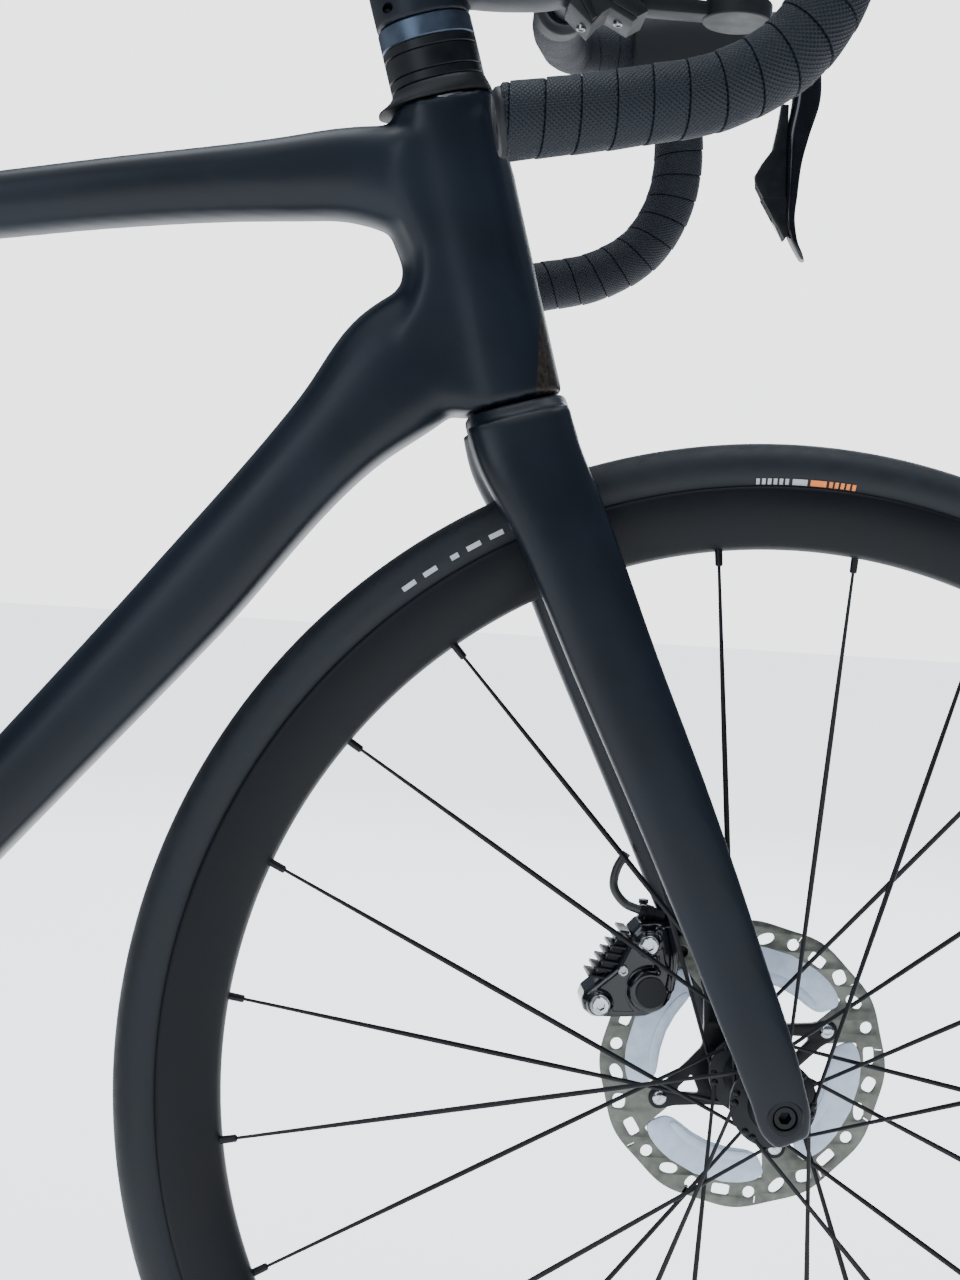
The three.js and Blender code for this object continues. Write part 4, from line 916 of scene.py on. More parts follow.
# ---------------------------------------------------------------- fork and headset
fork_shells = [
    tube(
        [(steered(3), HEAD_LEAN, 53, 56), (steered(-9, 0.5), HEAD_LEAN, 53.5, 66),
         (steered(-24, 1.5), HEAD_LEAN, 53, 78), (steered(-45, 4), HEAD_LEAN, 46, 86)],
        24, 2.9, 48,
    )
]
for side in (1, -1):
    fork_shells.append(
        tube(
            [(at(-152.5, 341, side * 24.5), 17, 53, 21), (at(-148, 326, side * 27.5), 18, 53, 23),
             (at(-128, 287, side * 35), 22, 47.5, 20.5),
             (at(-97, 219, side * 41), 23, 43, 18), (at(-63, 147, side * 46.5), 24, 39, 15.5),
             (at(-30, 73, side * 51), 24, 34, 12.5), (at(-3, 9, side * 55.2), 24, 29, 10),
             (at(2, -5, side * 55.2), 24, 26.5, 9.8), (at(5.5, -13, side * 55.2), 24, 18, 9.6)],
            90, 3.2, 40,
        )
    )
tyre_room = spun(
    [[0, -21.5], [338, -21.5], [346, -15], [348, 0], [346, 15], [338, 21.5], [0, 21.5]], FRONT_AXLE,
    segments=120
)
crown_top = spun([[0, -0.2], [29, -0.2], [60, -11], [60, 40], [0, 40]], CROWN, UP, 96)
fork_skin = fused(*fork_shells, voxel=1.5, smooth=12, rooms=(tyre_room, crown_top))
piece("fork", drilled(fork_skin, disc(6.5, -80, 80, FRONT_AXLE, segments=48)), carbon, "steered",
      ("fork",),
      50)
piece("steerer", disc(14.2, 0, 240, CROWN, UP, segments=48), carbon, "steered")
for name, side in SIDES.items():
    low, high = sorted((side * 58.2, side * 60.3))
    piece("axle_seat_" + name, disc(9.4, low, high, FRONT_AXLE, edge=0.8, bore=6.3), satin_black,
          "steered")

HEAD_DEPTH, HEAD_WIDTH = 49, 43


def oval(up, size, back=0.0, power=2.2):
    """One level of the headset stack, a height above the crown race, on the oval of the head tube."""
    return ring(steered(up, -back), FORE * (HEAD_DEPTH + size + back * 2) / 2,
                Y * (HEAD_WIDTH + size) / 2, power, 96)


def oval_ring(low, high, chamfer=0.5):
    """One spacer of the headset stack: an oval band between two heights, bored for the steerer."""
    bore = [ring(steered(u), FORE * 14.6, Y * 14.6, 2, 96) for u in (high, low)]
    outer = [oval(low, -2 * chamfer), oval(low + chamfer, 0), oval(high - chamfer, 0),
             oval(high, -2 * chamfer)]
    return loft(outer + bore, closed=True)


stack = HEAD_TUBE + 0.3
cover = loft(
    [oval(stack, 4.0, 3.6), oval(stack + 1.0, 4.4, 3.4), oval(stack + 2.6, 3.8, 1.9),
     oval(stack + 4.6, 2.6, 0.7),
     oval(stack + 6.6, 1.2, 0.1), oval(stack + 8.2, 0.4), oval(stack + 8.6, -0.6),
     ring(steered(stack + 8.6), FORE * 15, Y * 15, 2, 96),
     ring(steered(stack), FORE * 15, Y * 15, 2, 96)],
    closed=True,
)
piece("headset_cover", cover, cover_plastic, "frame", ("headset_cover",), 50)
stack += 8.7
for number, height in enumerate((5, 11, 5, 11), 1):
    name = f"spacer_{number}"
    last = number == 4
    piece(name, oval_ring(stack + 0.3, stack + height, 0.7 if last else 0.45),
          blue_alloy if last else satin_black,
          "steered", (name,))
    stack += height
for name, low in (("lower", 1.4), ("upper", 153)):
    piece("headset_bearing_" + name, disc(22.4, low, low + 6.4, CROWN, UP, bore=15.4), plated_steel,
          "frame",
          ("headset_bearing_" + name,))

# ---------------------------------------------------------------- one-piece bar and stem
BEND = [(-127, 594, 40), (-127, 594, 165), (-117, 596, 192), (-92, 599, 200), (-68, 594, 202),
        (-50, 570, 204),
        (-44, 538, 206), (-48, 506, 207), (-64, 477, 207), (-92, 458, 207), (-125, 449, 207),
        (-180, 438, 207)]
TAPE_START, BAR_RADIUS = 0.153, 11.1


def bend_line(side, low=0.0, high=1.0, steps=400):
    """Evenly spaced points on the bar's centreline, between two shares of its length."""
    line = flow([at(x, z, side * y) for x, z, y in BEND], 1200)
    run = np.concatenate([[0], np.cumsum(np.linalg.norm(np.diff(line, axis=0), axis=1))])
    where = np.linspace(low, high, steps + 1) * run[-1]
    return np.stack([np.interp(where, run, line[:, i]) for i in range(3)], 1)


def flat_top(y, depth, height):
    """A cut across the top of the bar at a distance to the left of its middle."""
    return ring(at(-127, 594, y), np.array([depth / 2, 0, 0]), np.array([0, 0, height / 2]), 2.3, 40)


bar_rows = [(-109, 22.4, 22.4), (-90, 31, 22.5), (-72, 40, 23), (-36, 44, 26), (0, 46, 30), (36, 44, 26),
            (72, 40, 23), (90, 31, 22.5), (109, 22.4, 22.4)]
bar_top = loft([flat_top(*row) for row in flow([(y, d, h) for y, d, h in bar_rows], 60)])
stem = tube(
    [(at(-214, 574), 90, 40, 36), (at(-190, 575), 90, 45, 40), (at(-168, 576), 90, 46, 42),
     (at(-138, 581), 90, 44, 50),
     (at(-112, 590), 90, 25, 58)],
    40, 2.8, 48,
)
foot = tube(
    [(steered(stack + 0.3), HEAD_LEAN, HEAD_DEPTH, HEAD_WIDTH),
     (steered(stack + 24), HEAD_LEAN, HEAD_DEPTH, 42),
     (steered(stack + 44, -1), HEAD_LEAN, HEAD_DEPTH - 4, 39)],
    30, 2.3, 48,
)
cockpit_skin = fused(bar_top, stem, foot, voxel=1.4, smooth=8)
pinch_holes = [disc(2.6, -30, -8, steered(stack + 8, -17.5), (0, 1, 0), segments=24)]
cockpit_skin = drilled(cockpit_skin, *pinch_holes)
piece("cockpit", cockpit_skin, bar_carbon, "steered", ("cockpit",), 50)
for name, side in SIDES.items():
    piece("bar_end_tube_" + name, rod(bend_line(side, 0.14, 0.997, 40), BAR_RADIUS, 160, 32),
          bar_carbon, "steered")
cap_place = steered(stack + 45, -1)
piece("top_cap",
      spun([[0, 0], [17, 0], [17.5, 0.6], [16.6, 2.4], [13, 3.2], [5, 3.2], [4.4, 2.4], [0, 2.4]],
                      cap_place, UP, 64), cover_plastic, "steered", crease=50)
piece("top_cap_bolt", bolt(cap_place + UP * 1.2, UP, 4.2, 2.6, 2.0), plated_steel, "steered")


def wrapped_tape(side):
    """Tape wound round the bar: each turn laps over the last, with a narrow groove where its edge lies."""
    pitch, columns = 14.5, 72
    shares = np.array([0, 0.022, 0.06, 0.2, 0.45, 0.7, 0.9, 0.982])
    lifts = np.array([-0.75, -0.18, 0.02, 0.12, 0.2, 0.3, 0.38, 0.34])
    line = bend_line(side, TAPE_START, 1.0, 900)
    run = np.concatenate([[0], np.cumsum(np.linalg.norm(np.diff(line, axis=0), axis=1))])
    _, beside, above = travel(line)
    turns = math.ceil(run[-1] / pitch) + 2
    rows = len(shares) * turns
    k = np.arange(rows)
    s0 = (k // len(shares) - 1 + shares[k % len(shares)]) * pitch
    angle = np.arange(columns) * 2 * math.pi / columns
    s = s0[:, None] + pitch * angle[None, :] / (2 * math.pi)
    kept = np.clip(s, 0, run[-1])
    near_end = np.minimum(1.0, np.minimum(kept, run[-1] - kept) / 2.5 + 0.86)
    radius = (15.25 + lifts[k % len(shares)][:, None]) * near_end
    pick = lambda table: np.stack([np.interp(kept.ravel(), run, table[:, i]) for i in range(3)], 1)
    spin = side * angle[None, :] + 0 * s
    out = pick(beside) * np.cos(spin).ravel()[:, None] + pick(above) * np.sin(spin).ravel()[:, None]
    points = pick(line) + out * radius.ravel()[:, None]
    faces = []
    lap = len(shares)
    for r in range(rows - 1):
        for c in range(columns):
            d = c + 1
            ra = r if d < columns else r + lap
            if ra + 1 >= rows:
                continue
            a, b = r * columns + c, ra * columns + d % columns
            faces.append((a, b, b + columns, a + columns))
    kept = kept.ravel()
    whole = 44 * 1.55 * math.sqrt(2)
    strip = (np.tile(angle, rows) * whole / (2 * math.pi), kept, whole)
    return (points, [f for f in faces if np.ptp(kept[list(f)]) > 1e-6]), strip


for name, side in SIDES.items():
    shell, strip = wrapped_tape(side)
    piece("bar_tape_" + name, shell, tape_cover, "steered", ("bar_tape_" + name,), 60,
          strip=strip)
    first, last = bend_line(side, TAPE_START - 0.012, TAPE_START + 0.03, 8), bend_line(side, 0.985, 1.0,
                                                                                       4)
    piece("finishing_tape_" + name,
          rod(first, [11.6, 12.4, 15.4, 15.75, 15.75, 15.75, 15.75, 15.7, 15.0], 24, 48),
          moulded_black, "steered")
    way = last[-1] - last[0]
    way /= np.linalg.norm(way)
    plug = spun([[0, -9], [9.6, -9], [9.6, -2.5], [13.2, -2.2], [13.9, -1.6], [14.2, -0.2], [13.9, 1.2],
                 [12.8, 2.3],
                 [10.8, 2.8], [9.8, 2.2], [5, 2.0], [4.2, 1.0], [0, 1.0]], last[-1], way, 64)
    piece("bar_plug_" + name, plug, moulded_black, "steered", crease=40)

# ---------------------------------------------------------------- levers, hoods and computer mount
PADDLE = [(23.5, 574), (19, 574), (17.5, 560), (15, 545), (9, 536), (5, 528), (6, 521), (13, 509),
          (21, 497),
          (26, 488), (28, 492), (25.5, 517), (24, 545)]
for name, side in SIDES.items():
    hood = fused(
        tube([(at(-80, 598, side * 201), 96, 43, 42), (at(-52, 601, side * 201), 90, 49, 42),
              (at(-18, 606, side * 201), 84, 42, 36), (at(8, 611, side * 201), 80, 41, 34),
              (at(26, 619, side * 201), 74, 40, 31), (at(38, 628, side * 201), 66, 22, 20)], 40, 2.6,
              40, extra=0.4),
        tube([(at(4, 612, side * 201), 60, 40, 30), (at(24, 632, side * 201), 50, 30, 25),
              (at(34, 645, side * 201), 45, 14, 15)], 20, 2.4, 32),
        voxel=1.3, smooth=8,
    )
    piece("hood_" + name, hood, hood_rubber, "steered", ("hood_" + name,), 50)
    body = [(-4, 600), (14, 598), (22, 586), (36, 584), (40, 592), (38, 612), (10, 616), (-4, 612)]
    body = [tuple(at(x, z)[[0, 2]]) for x, z in body]
    piece("lever_housing_" + name, cutout([body], side * 201 - 10.5, side * 201 + 10.5, 1.6),
          gloss_black, "steered")
    blade = tube(
        [(at(34, 602, side * 201), 0, 17, 15), (at(34.6, 577, side * 201), 5, 18, 14),
         (at(30.5, 554, side * 201), 6, 15, 13),
         (at(29.4, 540, side * 201), 4, 11, 12), (at(29, 517, side * 201), 2, 8, 11.5),
         (at(29.2, 500, side * 201), -2, 6.6, 11), (at(32, 489, side * 201), -25, 7, 10.5),
         (at(36.3, 481, side * 201), -28, 6, 10), (at(38.6, 476.5, side * 201), -25, 3.4, 8)],
        70, 3.0, 28,
    )
    lever = "brake_lever_" + name
    piece(lever, blade, gloss_black, "lever_" + name, (lever,), 50)
    piece("lever_pin_" + name,
          disc(2.8, side * 201 - 11.4, side * 201 + 11.4, at(30, 600), segments=24), plated_steel,
          "lever_" + name)
    outline = [tuple(at(x, z)[[0, 2]]) for x, z in PADDLE]
    lower = [tuple(at(x, z)[[0, 2]]) for x, z in PADDLE[6:11] + [(25.6, 515.5), (10.5, 514)]]
    paddle = merge(cutout([outline], side * 201 - 3.6, side * 201 + 3.6, 1.2),
                   cutout([lower], side * 201 - 4.3, side * 201 + 4.3, 0.8))
    piece("shift_paddle_" + name, paddle, satin_black, "paddle_" + name, ("shift_paddle_" + name,))

mount_shells = []
for outline, half, bevel in (
    ([(-138, 575), (-139, 554), (-127, 543.5), (-122, 550), (-118, 553), (-106, 547), (-101, 551),
      (-104, 562), (-104, 574)],
     13.6, 1.0),
    ([(-122, 563), (-104, 556), (-62, 556), (-62, 563), (-104, 566)], 7, 1.0),
    ([(-134, 556), (-127, 545.5), (-125, 547.5), (-130, 558)], 15.5, 0.6),
    ([(-118, 556), (-104, 549), (-98.5, 552.5), (-101, 556), (-112, 560)], 15.5, 0.6),
):
    mount_shells.append(cutout([[tuple(at(x, z)[[0, 2]]) for x, z in outline]], -half, half, bevel))
seat = spun([[0, 0], [17.4, 0], [18, 0.6], [18, 9.2], [17.4, 10], [13.4, 10], [12.8, 9.4], [12.8, 4],
             [0, 4]],
            at(-50, 555), (0, 0, 1), 64)
lugs = around(spun([[0, -1.2], [2.6, -1.0], [2.6, 1.0], [0, 1.2]], (11.6, 0, 0), (0, 1, 0), 16), 2,
              material=satin_black)
lugs = moved((lugs[0][:, [0, 2, 1]], lugs[1]), at(-50, 562.5))
piece("computer_mount", merge(*mount_shells, seat, lugs), moulded_black, "steered", ("computer_mount",),
      35)
for x in (-131, -112):
    piece(f"mount_bolt_{-x}", bolt(at(x, 547 if x == -131 else 551), (0, 0, -1), 2.6, 2.4, 1.3, 24),
          plated_steel, "steered")


# ---------------------------------------------------------------- wheels
def polar(radius, degrees):
    """Ahead and up for a radius and an angle."""
    return (radius * math.cos(math.radians(degrees)), radius * math.sin(math.radians(degrees)))


def rotor(end, centre, body, radius, y):
    """Slotted steel track with tabs, pale alloy sectors, and a black spider riveted to the tabs."""
    d = radius - 80
    arms = [24.5 + 90 * k for k in range(4)]
    off = lambda a: min(abs((a - b + 180) % 360 - 180) for b in arms)
    spots = np.arange(360)
    outer = [polar(radius - 0.7 + 0.7 * math.cos(math.radians(12 * a)), a) for a in spots]
    inner = []
    for a in spots:
        t = min(max((off(a) - 7.0) / 4.5, 0), 1)
        inner.append(polar(45 + d + 19.5 * t * t * (3 - 2 * t), a))
    holes = []
    for k in range(28):
        a = 360 / 28 * (k + 0.5)
        r = (70.6, 71.6, 70.6, 71.8)[k % 4] + d
        long, wide, power, slant = ((5.0, 3.0, 5, 0), (3.3, 3.3, 2, 0), (5.0, 3.0, 2.3, 25),
                                    (4.2, 3.6, 3, -20))[k % 4]
        t = np.arange(20) * 2 * math.pi / 20
        u = long * np.sign(np.cos(t)) * np.abs(np.cos(t)) ** (2 / power)
        v = wide * np.sign(np.sin(t)) * np.abs(np.sin(t)) ** (2 / power)
        q = math.radians(a + 90 + slant)
        x, z = polar(r, a)
        holes.append(list(zip(x + u * math.cos(q) - v * math.sin(q),
                              z + u * math.sin(q) + v * math.cos(q))))
    for k in range(12):
        a = 30 * k + 9
        holes.append([polar(r + d, a + s) for r,
                      s in ((74.2, -0.3), (78.2, -0.9), (78.2, -0.3), (74.2, 0.3))])
    at_hub = lambda shell: moved(shell, centre)
    piece(end + "_rotor_track", at_hub(cutout([outer, inner] + holes, y - 0.9, y + 0.9, 0.22)),
          rotor_steel, body,
          (end + "_rotor",), 40)
    sectors, folds = [], []
    for a in arms:
        t = np.arange(72) * 2 * math.pi / 72
        u = np.sign(np.cos(t)) * np.abs(np.cos(t)) ** (2 / 5)
        v = np.sign(np.sin(t)) * np.abs(np.sin(t)) ** (2 / 3.2)
        sectors.append(cutout([[polar(56.6 + d + 9.6 * q, a + 45 + (34.5 + 2.0 * q) * p) for p,
                                q in zip(u, v)]],
                              y - 1.5, y + 1.5, 0.5))
        folds.append(cutout([[polar(50.6 + d + 2.6 * q, a + 45 + 28 * p) for p, q in zip(u, v)]],
                            y - 2.1, y + 2.1, 0.6))
    piece(end + "_rotor_core", at_hub(merge(*sectors, *folds)), blasted_alloy, body, crease=40)
    edge, windows = [], []
    for a in arms:
        turned = lambda u, v, a=a: (u * math.cos(math.radians(a)) - v * math.sin(math.radians(a)),
                                    u * math.sin(math.radians(a)) + v * math.cos(math.radians(a)))
        edge += [turned(19, -17), turned(29 + d / 2, -12.5), turned(44 + d, -7.0)]
        edge += [turned(50 + d + 6 * math.cos(math.radians(t)), 6 * math.sin(math.radians(t)))
                 for t in range(-80, 81, 16)]
        edge += [turned(44 + d, 7.0), turned(29 + d / 2, 12.5), turned(19, 17)]
        windows.append([turned(*p) for p in ((28.5, -4.4), (29.3, -5.4), (30.6, -5), (38 + d, -1.6),
                                             (39 + d, 0), (38 + d, 1.6), (30.6, 5), (29.3, 5.4),
                                             (28.5, 4.4))])
    bore = [polar(16.4, a) for a in range(0, 360, 6)]
    piece(end + "_rotor_spider", at_hub(cutout([edge, bore] + windows, y - 1.9, y + 1.9, 0.5)),
          satin_black, body)
    rivets = []
    for a in arms:
        x, z = polar(50 + d, a)
        rivets.append(spun([[0, -2.9], [2.4, -2.8], [3.8, -2.3], [4.1, -1.7], [4.1, 1.7], [3.8, 2.3],
                            [2.4, 2.8], [0, 2.9]],
                           centre + [x, y, z], segments=28))
    piece(end + "_rotor_rivets", merge(*rivets), polished_steel, body, crease=50)
    ring_body = spun([[16.5, y + 1.9], [22.2, y + 1.9], [22.6, y + 2.4], [22.6, y + 4], [22, y + 4.6],
                      [17, y + 4.6],
                      [16.5, y + 4.1]], centre, segments=64)
    teeth = around(disc(1.3, y + 3.2, y + 6, centre=(18.4, 0, 0), segments=12), 16, material=satin_black)
    piece(end + "_rotor_lockring", drilled(ring_body, moved(teeth, centre)), satin_black, body)


def wheel(end, centre, body, hub, flanges, rotor_radius, rotor_y):
    """One wheel without its rotor: tyre, marks, rim, hub, valve, spokes and nipples."""
    turn_count = 240
    phi = np.radians(np.linspace(-117, 117, 31))
    profile = [[324.8 + 14.2 * math.cos(p), 14.2 * math.sin(p)] for p in phi]
    profile += [[317.4, 12.3], [316.2, 11.9], [313.4, 10.4], [313.4, -10.4], [316.2, -11.9],
                [317.4, -12.3]]
    across = [14.2 * p for p in phi] + [30, 31, 34, -34, -31, -30]
    sweep = np.repeat(np.arange(turn_count) * 2 * math.pi / turn_count, len(profile)) * 339
    tyre = spun(profile, centre, segments=turn_count)
    piece(end + "_tyre", tyre, tyre_rubber, body, (end + "_tyre",), 50,
          strip=(sweep, np.tile(across, turn_count), 2 * math.pi * 339))
    hair = (np.array([[0.22, 0, 0], [-0.11, 0.19, 0], [-0.11, -0.19, 0], [0.05, 0.05, 2.6]]),
            [(0, 1, 3), (1, 2, 3), (2, 0, 3)])
    tread = spun([[338.7, -5], [339, 0], [338.7, 5]], centre, segments=120, closed=False)
    pattern = bpy.data.objects.new("hair", mesh_of("hair", hair, weld=0))
    bpy.context.scene.collection.objects.link(pattern)
    hairs = grown(SCATTER, mesh_of("tread", tread), item=pattern, density=0.012, seed=7,
                  material=tyre_rubber)
    bpy.data.objects.remove(pattern)
    piece(end + "_tyre_hairs", hairs, tyre_rubber, body)
    piece(end + "_rim", spun(
        [[311.5, 0], [312, 10.2], [314.6, 11.6], [315.7, 12.2], [316, 12.8], [315.6, 13.5],
         [313.5, 13.9], [305, 13.9],
         [296, 12.3], [289.5, 9.6], [285.2, 6.2], [283.5, 2.4], [283.3, 0], [283.5, -2.4], [285.2, -6.2],
         [289.5, -9.6], [296, -12.3], [305, -13.9], [313.5, -13.9], [315.6, -13.5], [316, -12.8],
         [315.7, -12.2],
         [314.6, -11.6], [312, -10.2]], centre, segments=turn_count), rim_carbon, body, (end + "_rim",),
         50)
    prints = {"grey": [], "orange": []}
    for side in (1, -1):
        bars = [("grey", 94.4 - 0.55 * k, 94.74 - 0.55 * k) for k in range(6)] + [("grey", 89.9, 91.3)]
        bars += [("orange", 88.1, 89.6)] + [("orange", 87.5 - 0.55 * k, 87.84 - 0.55 * k)
                                            for k in range(5)]
        for colour, first, last in bars:
            spots = np.radians(np.linspace(first, last, 4))
            section = [(316.9, 12.72), (319.9, 13.85), (319.9, 13.5), (316.9, 12.4)]
            prints[colour].append(loft([np.array([centre + [r * math.cos(t), side * y, r * math.sin(t)]
                                                  for r, y in section]) for t in spots]))
    for colour, material in (("grey", grey_print), ("orange", orange_print)):
        piece(f"{end}_tyre_print_{colour}", merge(*prints[colour]), material, body, crease=50)
    marks = []
    for side in (1, -1):
        for k in range(9):
            t = np.radians([109.6 + 2.3 * k, 109.6 + 2.3 * k + (1.4 if k % 3 else 0.8)])
            rows = [np.array([centre + [r * math.cos(a), side * y, r * math.sin(a)]
                              for r, y in ((321.6, 14.0), (324.2, 14.33), (324.2, 13.8),
                                           (321.6, 13.5))]) for a in t]
            marks.append(loft(rows))
    piece(end + "_tyre_marks", merge(*marks), grey_print, body)

    piece(end + "_hub", spun(hub, centre, segments=72), satin_black, body, (end + "_hub",),
          40)
    for side_name, side, flange in (("left", 1, flanges[0]), ("right", -1, flanges[1])):
        blades, nipples, heads = [], [], []
        for k in range(12):
            nipple = 8.4 + 30 * k + (15 if side > 0 else 0)
            lean = 68 if k % 2 else -68
            y_hub = flange + (2.3 if k % 2 else -2.3)
            foot = np.array([*polar(20.2, nipple + lean), y_hub])[[0, 2, 1]]
            top = np.array([*polar(284.5, nipple), side * 3])[[0, 2, 1]]
            way = (top - foot) / np.linalg.norm(top - foot)
            length = np.linalg.norm(top - foot)
            stops = [0, 8, 26, length - 34, length - 16, length - 4]
            blades.append(rod([centre + foot + way * s for s in stops],
                              [0.95, 0.75, 0.95, 0.95, 0.75, 0.8], 6, 8, 0.6))
            nipples.append(spun([[1.3, -9], [2.0, -8.4], [2.1, 0], [0.9, 0.6], [0.9, -8.6]],
                                centre + top, way, 12))
            heads.append(disc(1.9, flange - 3.2, flange + 3.2, centre + [foot[0], 0, foot[2]], edge=0.8,
                              segments=12))
        piece(f"{end}_spokes_{side_name}", merge(*blades, *heads), satin_black, body,
              (f"{end}_spokes_{side_name}",),
              60)
        piece(f"{end}_nipples_{side_name}", merge(*nipples), satin_black, body)
    x, z = polar(1, 278)
    stem = spun([[0, 249], [1.3, 249.3], [1.5, 250], [1.5, 254], [2.9, 254.6], [2.9, 262], [3.0, 262.2],
                 [3.0, 285],
                 [0, 285]], centre, (x, 0, z), 24)
    nut = spun([[3.0, 278], [5.2, 278.6], [5.4, 280], [5.4, 283.6], [3.0, 284.2]], centre, (x, 0, z), 24)
    piece(end + "_valve", merge(stem, nut), plated_steel, body)
    rotor(end, centre, body, rotor_radius, rotor_y)


wheel("front", FRONT_AXLE, "front_wheel",
      [[6.3, -49.6], [9, -49.9], [9.5, -49.4], [9.5, -44], [11.6, -43], [13, -39], [14, -36.4],
       [21.9, -34.6],
       [22.6, -34.2], [22.6, -31.8], [21.9, -31.4], [15, -30.4], [12.4, -27], [11.4, -18], [11.4, 9],
       [12.6, 16],
       [15.4, 20], [21.9, 21.4], [22.6, 21.8], [22.6, 24.2], [21.9, 24.6], [17, 25.8], [16, 27.6],
       [16, 45.4],
       [12, 46], [9.5, 46.6], [9.5, 49.4], [9, 49.9], [6.3, 49.6]],
      (23, -33), 80, 42)
wheel("rear", REAR_AXLE, "rear_wheel",
      [[6.3, -70.3], [8.6, -70.6], [9, -70], [9, -68], [15, -67.4], [15.5, -66.8], [15.5, -24.4],
       [17, -23.4],
       [21.9, -21.6], [22.6, -21.2], [22.6, -18.8], [21.9, -18.4], [15.6, -17], [13, -13], [12.4, -4],
       [12.4, 12],
       [14, 18], [21.9, 21.4], [22.6, 21.8], [22.6, 24.2], [21.9, 24.6], [17.6, 26.4], [16.2, 28.6],
       [16.2, 56.4],
       [12, 57], [10, 57.6], [10, 70.2], [9.4, 70.6], [6.3, 70.3]],
      (23, -20), 70, 53)

# ---------------------------------------------------------------- brake calipers
CALIPER = [(-93.5, 33), (-92, 28), (-87, 24.5), (-80, 24.5), (-68, 25), (-58, 26), (-50, 29.5),
           (-44.5, 36), (-42.5, 44),
           (-42, 52), (-43.5, 66), (-45, 77), (-55, 78), (-64, 77), (-68.5, 72), (-70, 66), (-76, 52),
           (-88, 41.5), (-92, 38)]


def on_plane(points):
    """Places ahead of and above the front axle, as the two numbers a flat outline takes."""
    return [tuple(at(x, z)[[0, 2]]) for x, z in points]


rotor_slot = disc(83, 39.6, 44.4, FRONT_AXLE, segments=96)
body = merge(cutout([on_plane(CALIPER)], 29.5, 56, 3.0))
boss = spun([[0, 25.2], [10.2, 25.2], [11.4, 26.2], [12.4, 31], [12.4, 33], [0, 33]], at(-57, 41),
            segments=64)
barrel = spun([[0, 26.5], [5.4, 26.6], [6.6, 28], [6.6, 33], [0, 33]], at(-84, 32), segments=48)
barrel_high = spun([[0, 26.5], [5.6, 26.6], [6.8, 28], [6.8, 33], [0, 33]], at(-59, 66), segments=48)
neck = rod([at(-50, 42, 31), at(-48, 60, 31), at(-50, 76, 33)], [7, 6.6, 6.0], 20, 24)
piece("front_caliper",
      drilled(fused(body, boss, barrel, barrel_high, neck, voxel=0.8, smooth=4), rotor_slot),
      gloss_black, "steered", ("front_caliper",), 50)
for name, (x, z) in {"low": (-83.6, 32), "high": (-59, 65.6)}.items():
    piece("caliper_bolt_" + name, bolt(at(x, z, 27.4), (0, -1, 0), 4.7, 3.4, 2.2), polished_steel,
          "steered")
    piece("caliper_washer_" + name, disc(5.6, 26.2, 27.6, at(x, z), bore=2), plated_steel, "steered")
piece("piston_cap",
      spun([[0, 24.1], [8.2, 24.1], [8.5, 24.5], [8.5, 25.4], [9.6, 25.6], [9.9, 26], [9.9, 27],
            [0, 27]],
                         at(-56.6, 40.6), segments=64), satin_black, "steered", crease=40)
piece("pad_pin", bolt(at(-72, 51, 29.2), (0, -1, 0), 2.9, 2.4, 1.4, 24), plated_steel, "steered")
fins = []
for k in range(7):
    left = np.array([-90.5, 47.0]) + np.array([16.0, 25.0]) * k / 6
    reach = (19, 21, 19, 16, 12.5, 9, 5)[k]
    way = np.array([math.cos(math.radians(-7)), math.sin(math.radians(-7))])
    up = np.array([-way[1], way[0]]) * 0.75
    corners = [left - up, left + way * reach - up, left + way * reach + up, left + up]
    fins.append(cutout([on_plane([tuple(c) for c in corners])], 31 + (k % 2), 55 - (k % 2), 0.25))
fins.append(cutout([on_plane([(-86, 47), (-69, 52), (-67, 62), (-74, 69)])], 34, 38.5, 0.4))
fins.append(cutout([on_plane([(-86, 47), (-69, 52), (-67, 62), (-74, 69)])], 45.5, 50, 0.4))
piece("front_pad_fins", merge(*fins), satin_black, "steered")
hose = [at(-72, 113, 45), at(-77, 104, 44), at(-78, 94, 43), at(-72, 86, 41), at(-62, 82.5, 38)]
piece("front_hose", rod(hose, 2.5, 40, 16), hose_rubber, "steered", ("front_hose",), 60)
fitting = spun([[0, 0], [3.4, 0.3], [3.9, 1.2], [3.9, 3.4], [4.6, 3.8], [4.6, 7.6], [3.9, 8.2],
                [3.9, 14], [0, 14]],
               at(-64, 83, 38.4), (0.96, -0.06, -0.22), 6)
nipple = spun([[0, 0], [3.0, 0], [3.0, 5], [2.2, 5.6], [2.2, 8.4], [2.8, 9], [2.8, 11], [0, 11.6]],
              at(-60, 76, 50), (0, 0, 1), 16)
piece("hose_fitting", merge(fitting, nipple), satin_black, "steered")

rear_body = [(-940, 14), (-934, 8), (-905, 0), (-885, -1), (-870, 2), (-867, 10), (-867, 28),
             (-872, 38), (-885, 44.5),
             (-922, 44.5), (-934, 40), (-939, 32)]
rear_slot = disc(73, 50.6, 55.4, REAR_AXLE, segments=96)
stay_room = tube([(at(-860, -25, 61), 99, 30, 13), (at(-980, -2, 75.8), 99, 27, 10.5)], 10, 2.6, 24)
block = fused(cutout([on_plane(rear_body)], 39.6, 68, 3.0),
              spun([[0, 37.4], [9.8, 37.4], [11.2, 38.6], [12.2, 43], [0, 43]], at(-905, 20),
                   segments=48),
              voxel=1.0, smooth=4)
piece("rear_caliper", drilled(block, rear_slot, stay_room), gloss_black, "frame", ("rear_caliper",),
      50)
piece("rear_piston_cap",
      spun([[0, 36.3], [8.2, 36.3], [8.5, 36.7], [8.5, 37.6], [9.6, 37.9], [9.8, 39], [0, 39]],
                              at(-905, 20), segments=48), satin_black, "frame", crease=40)
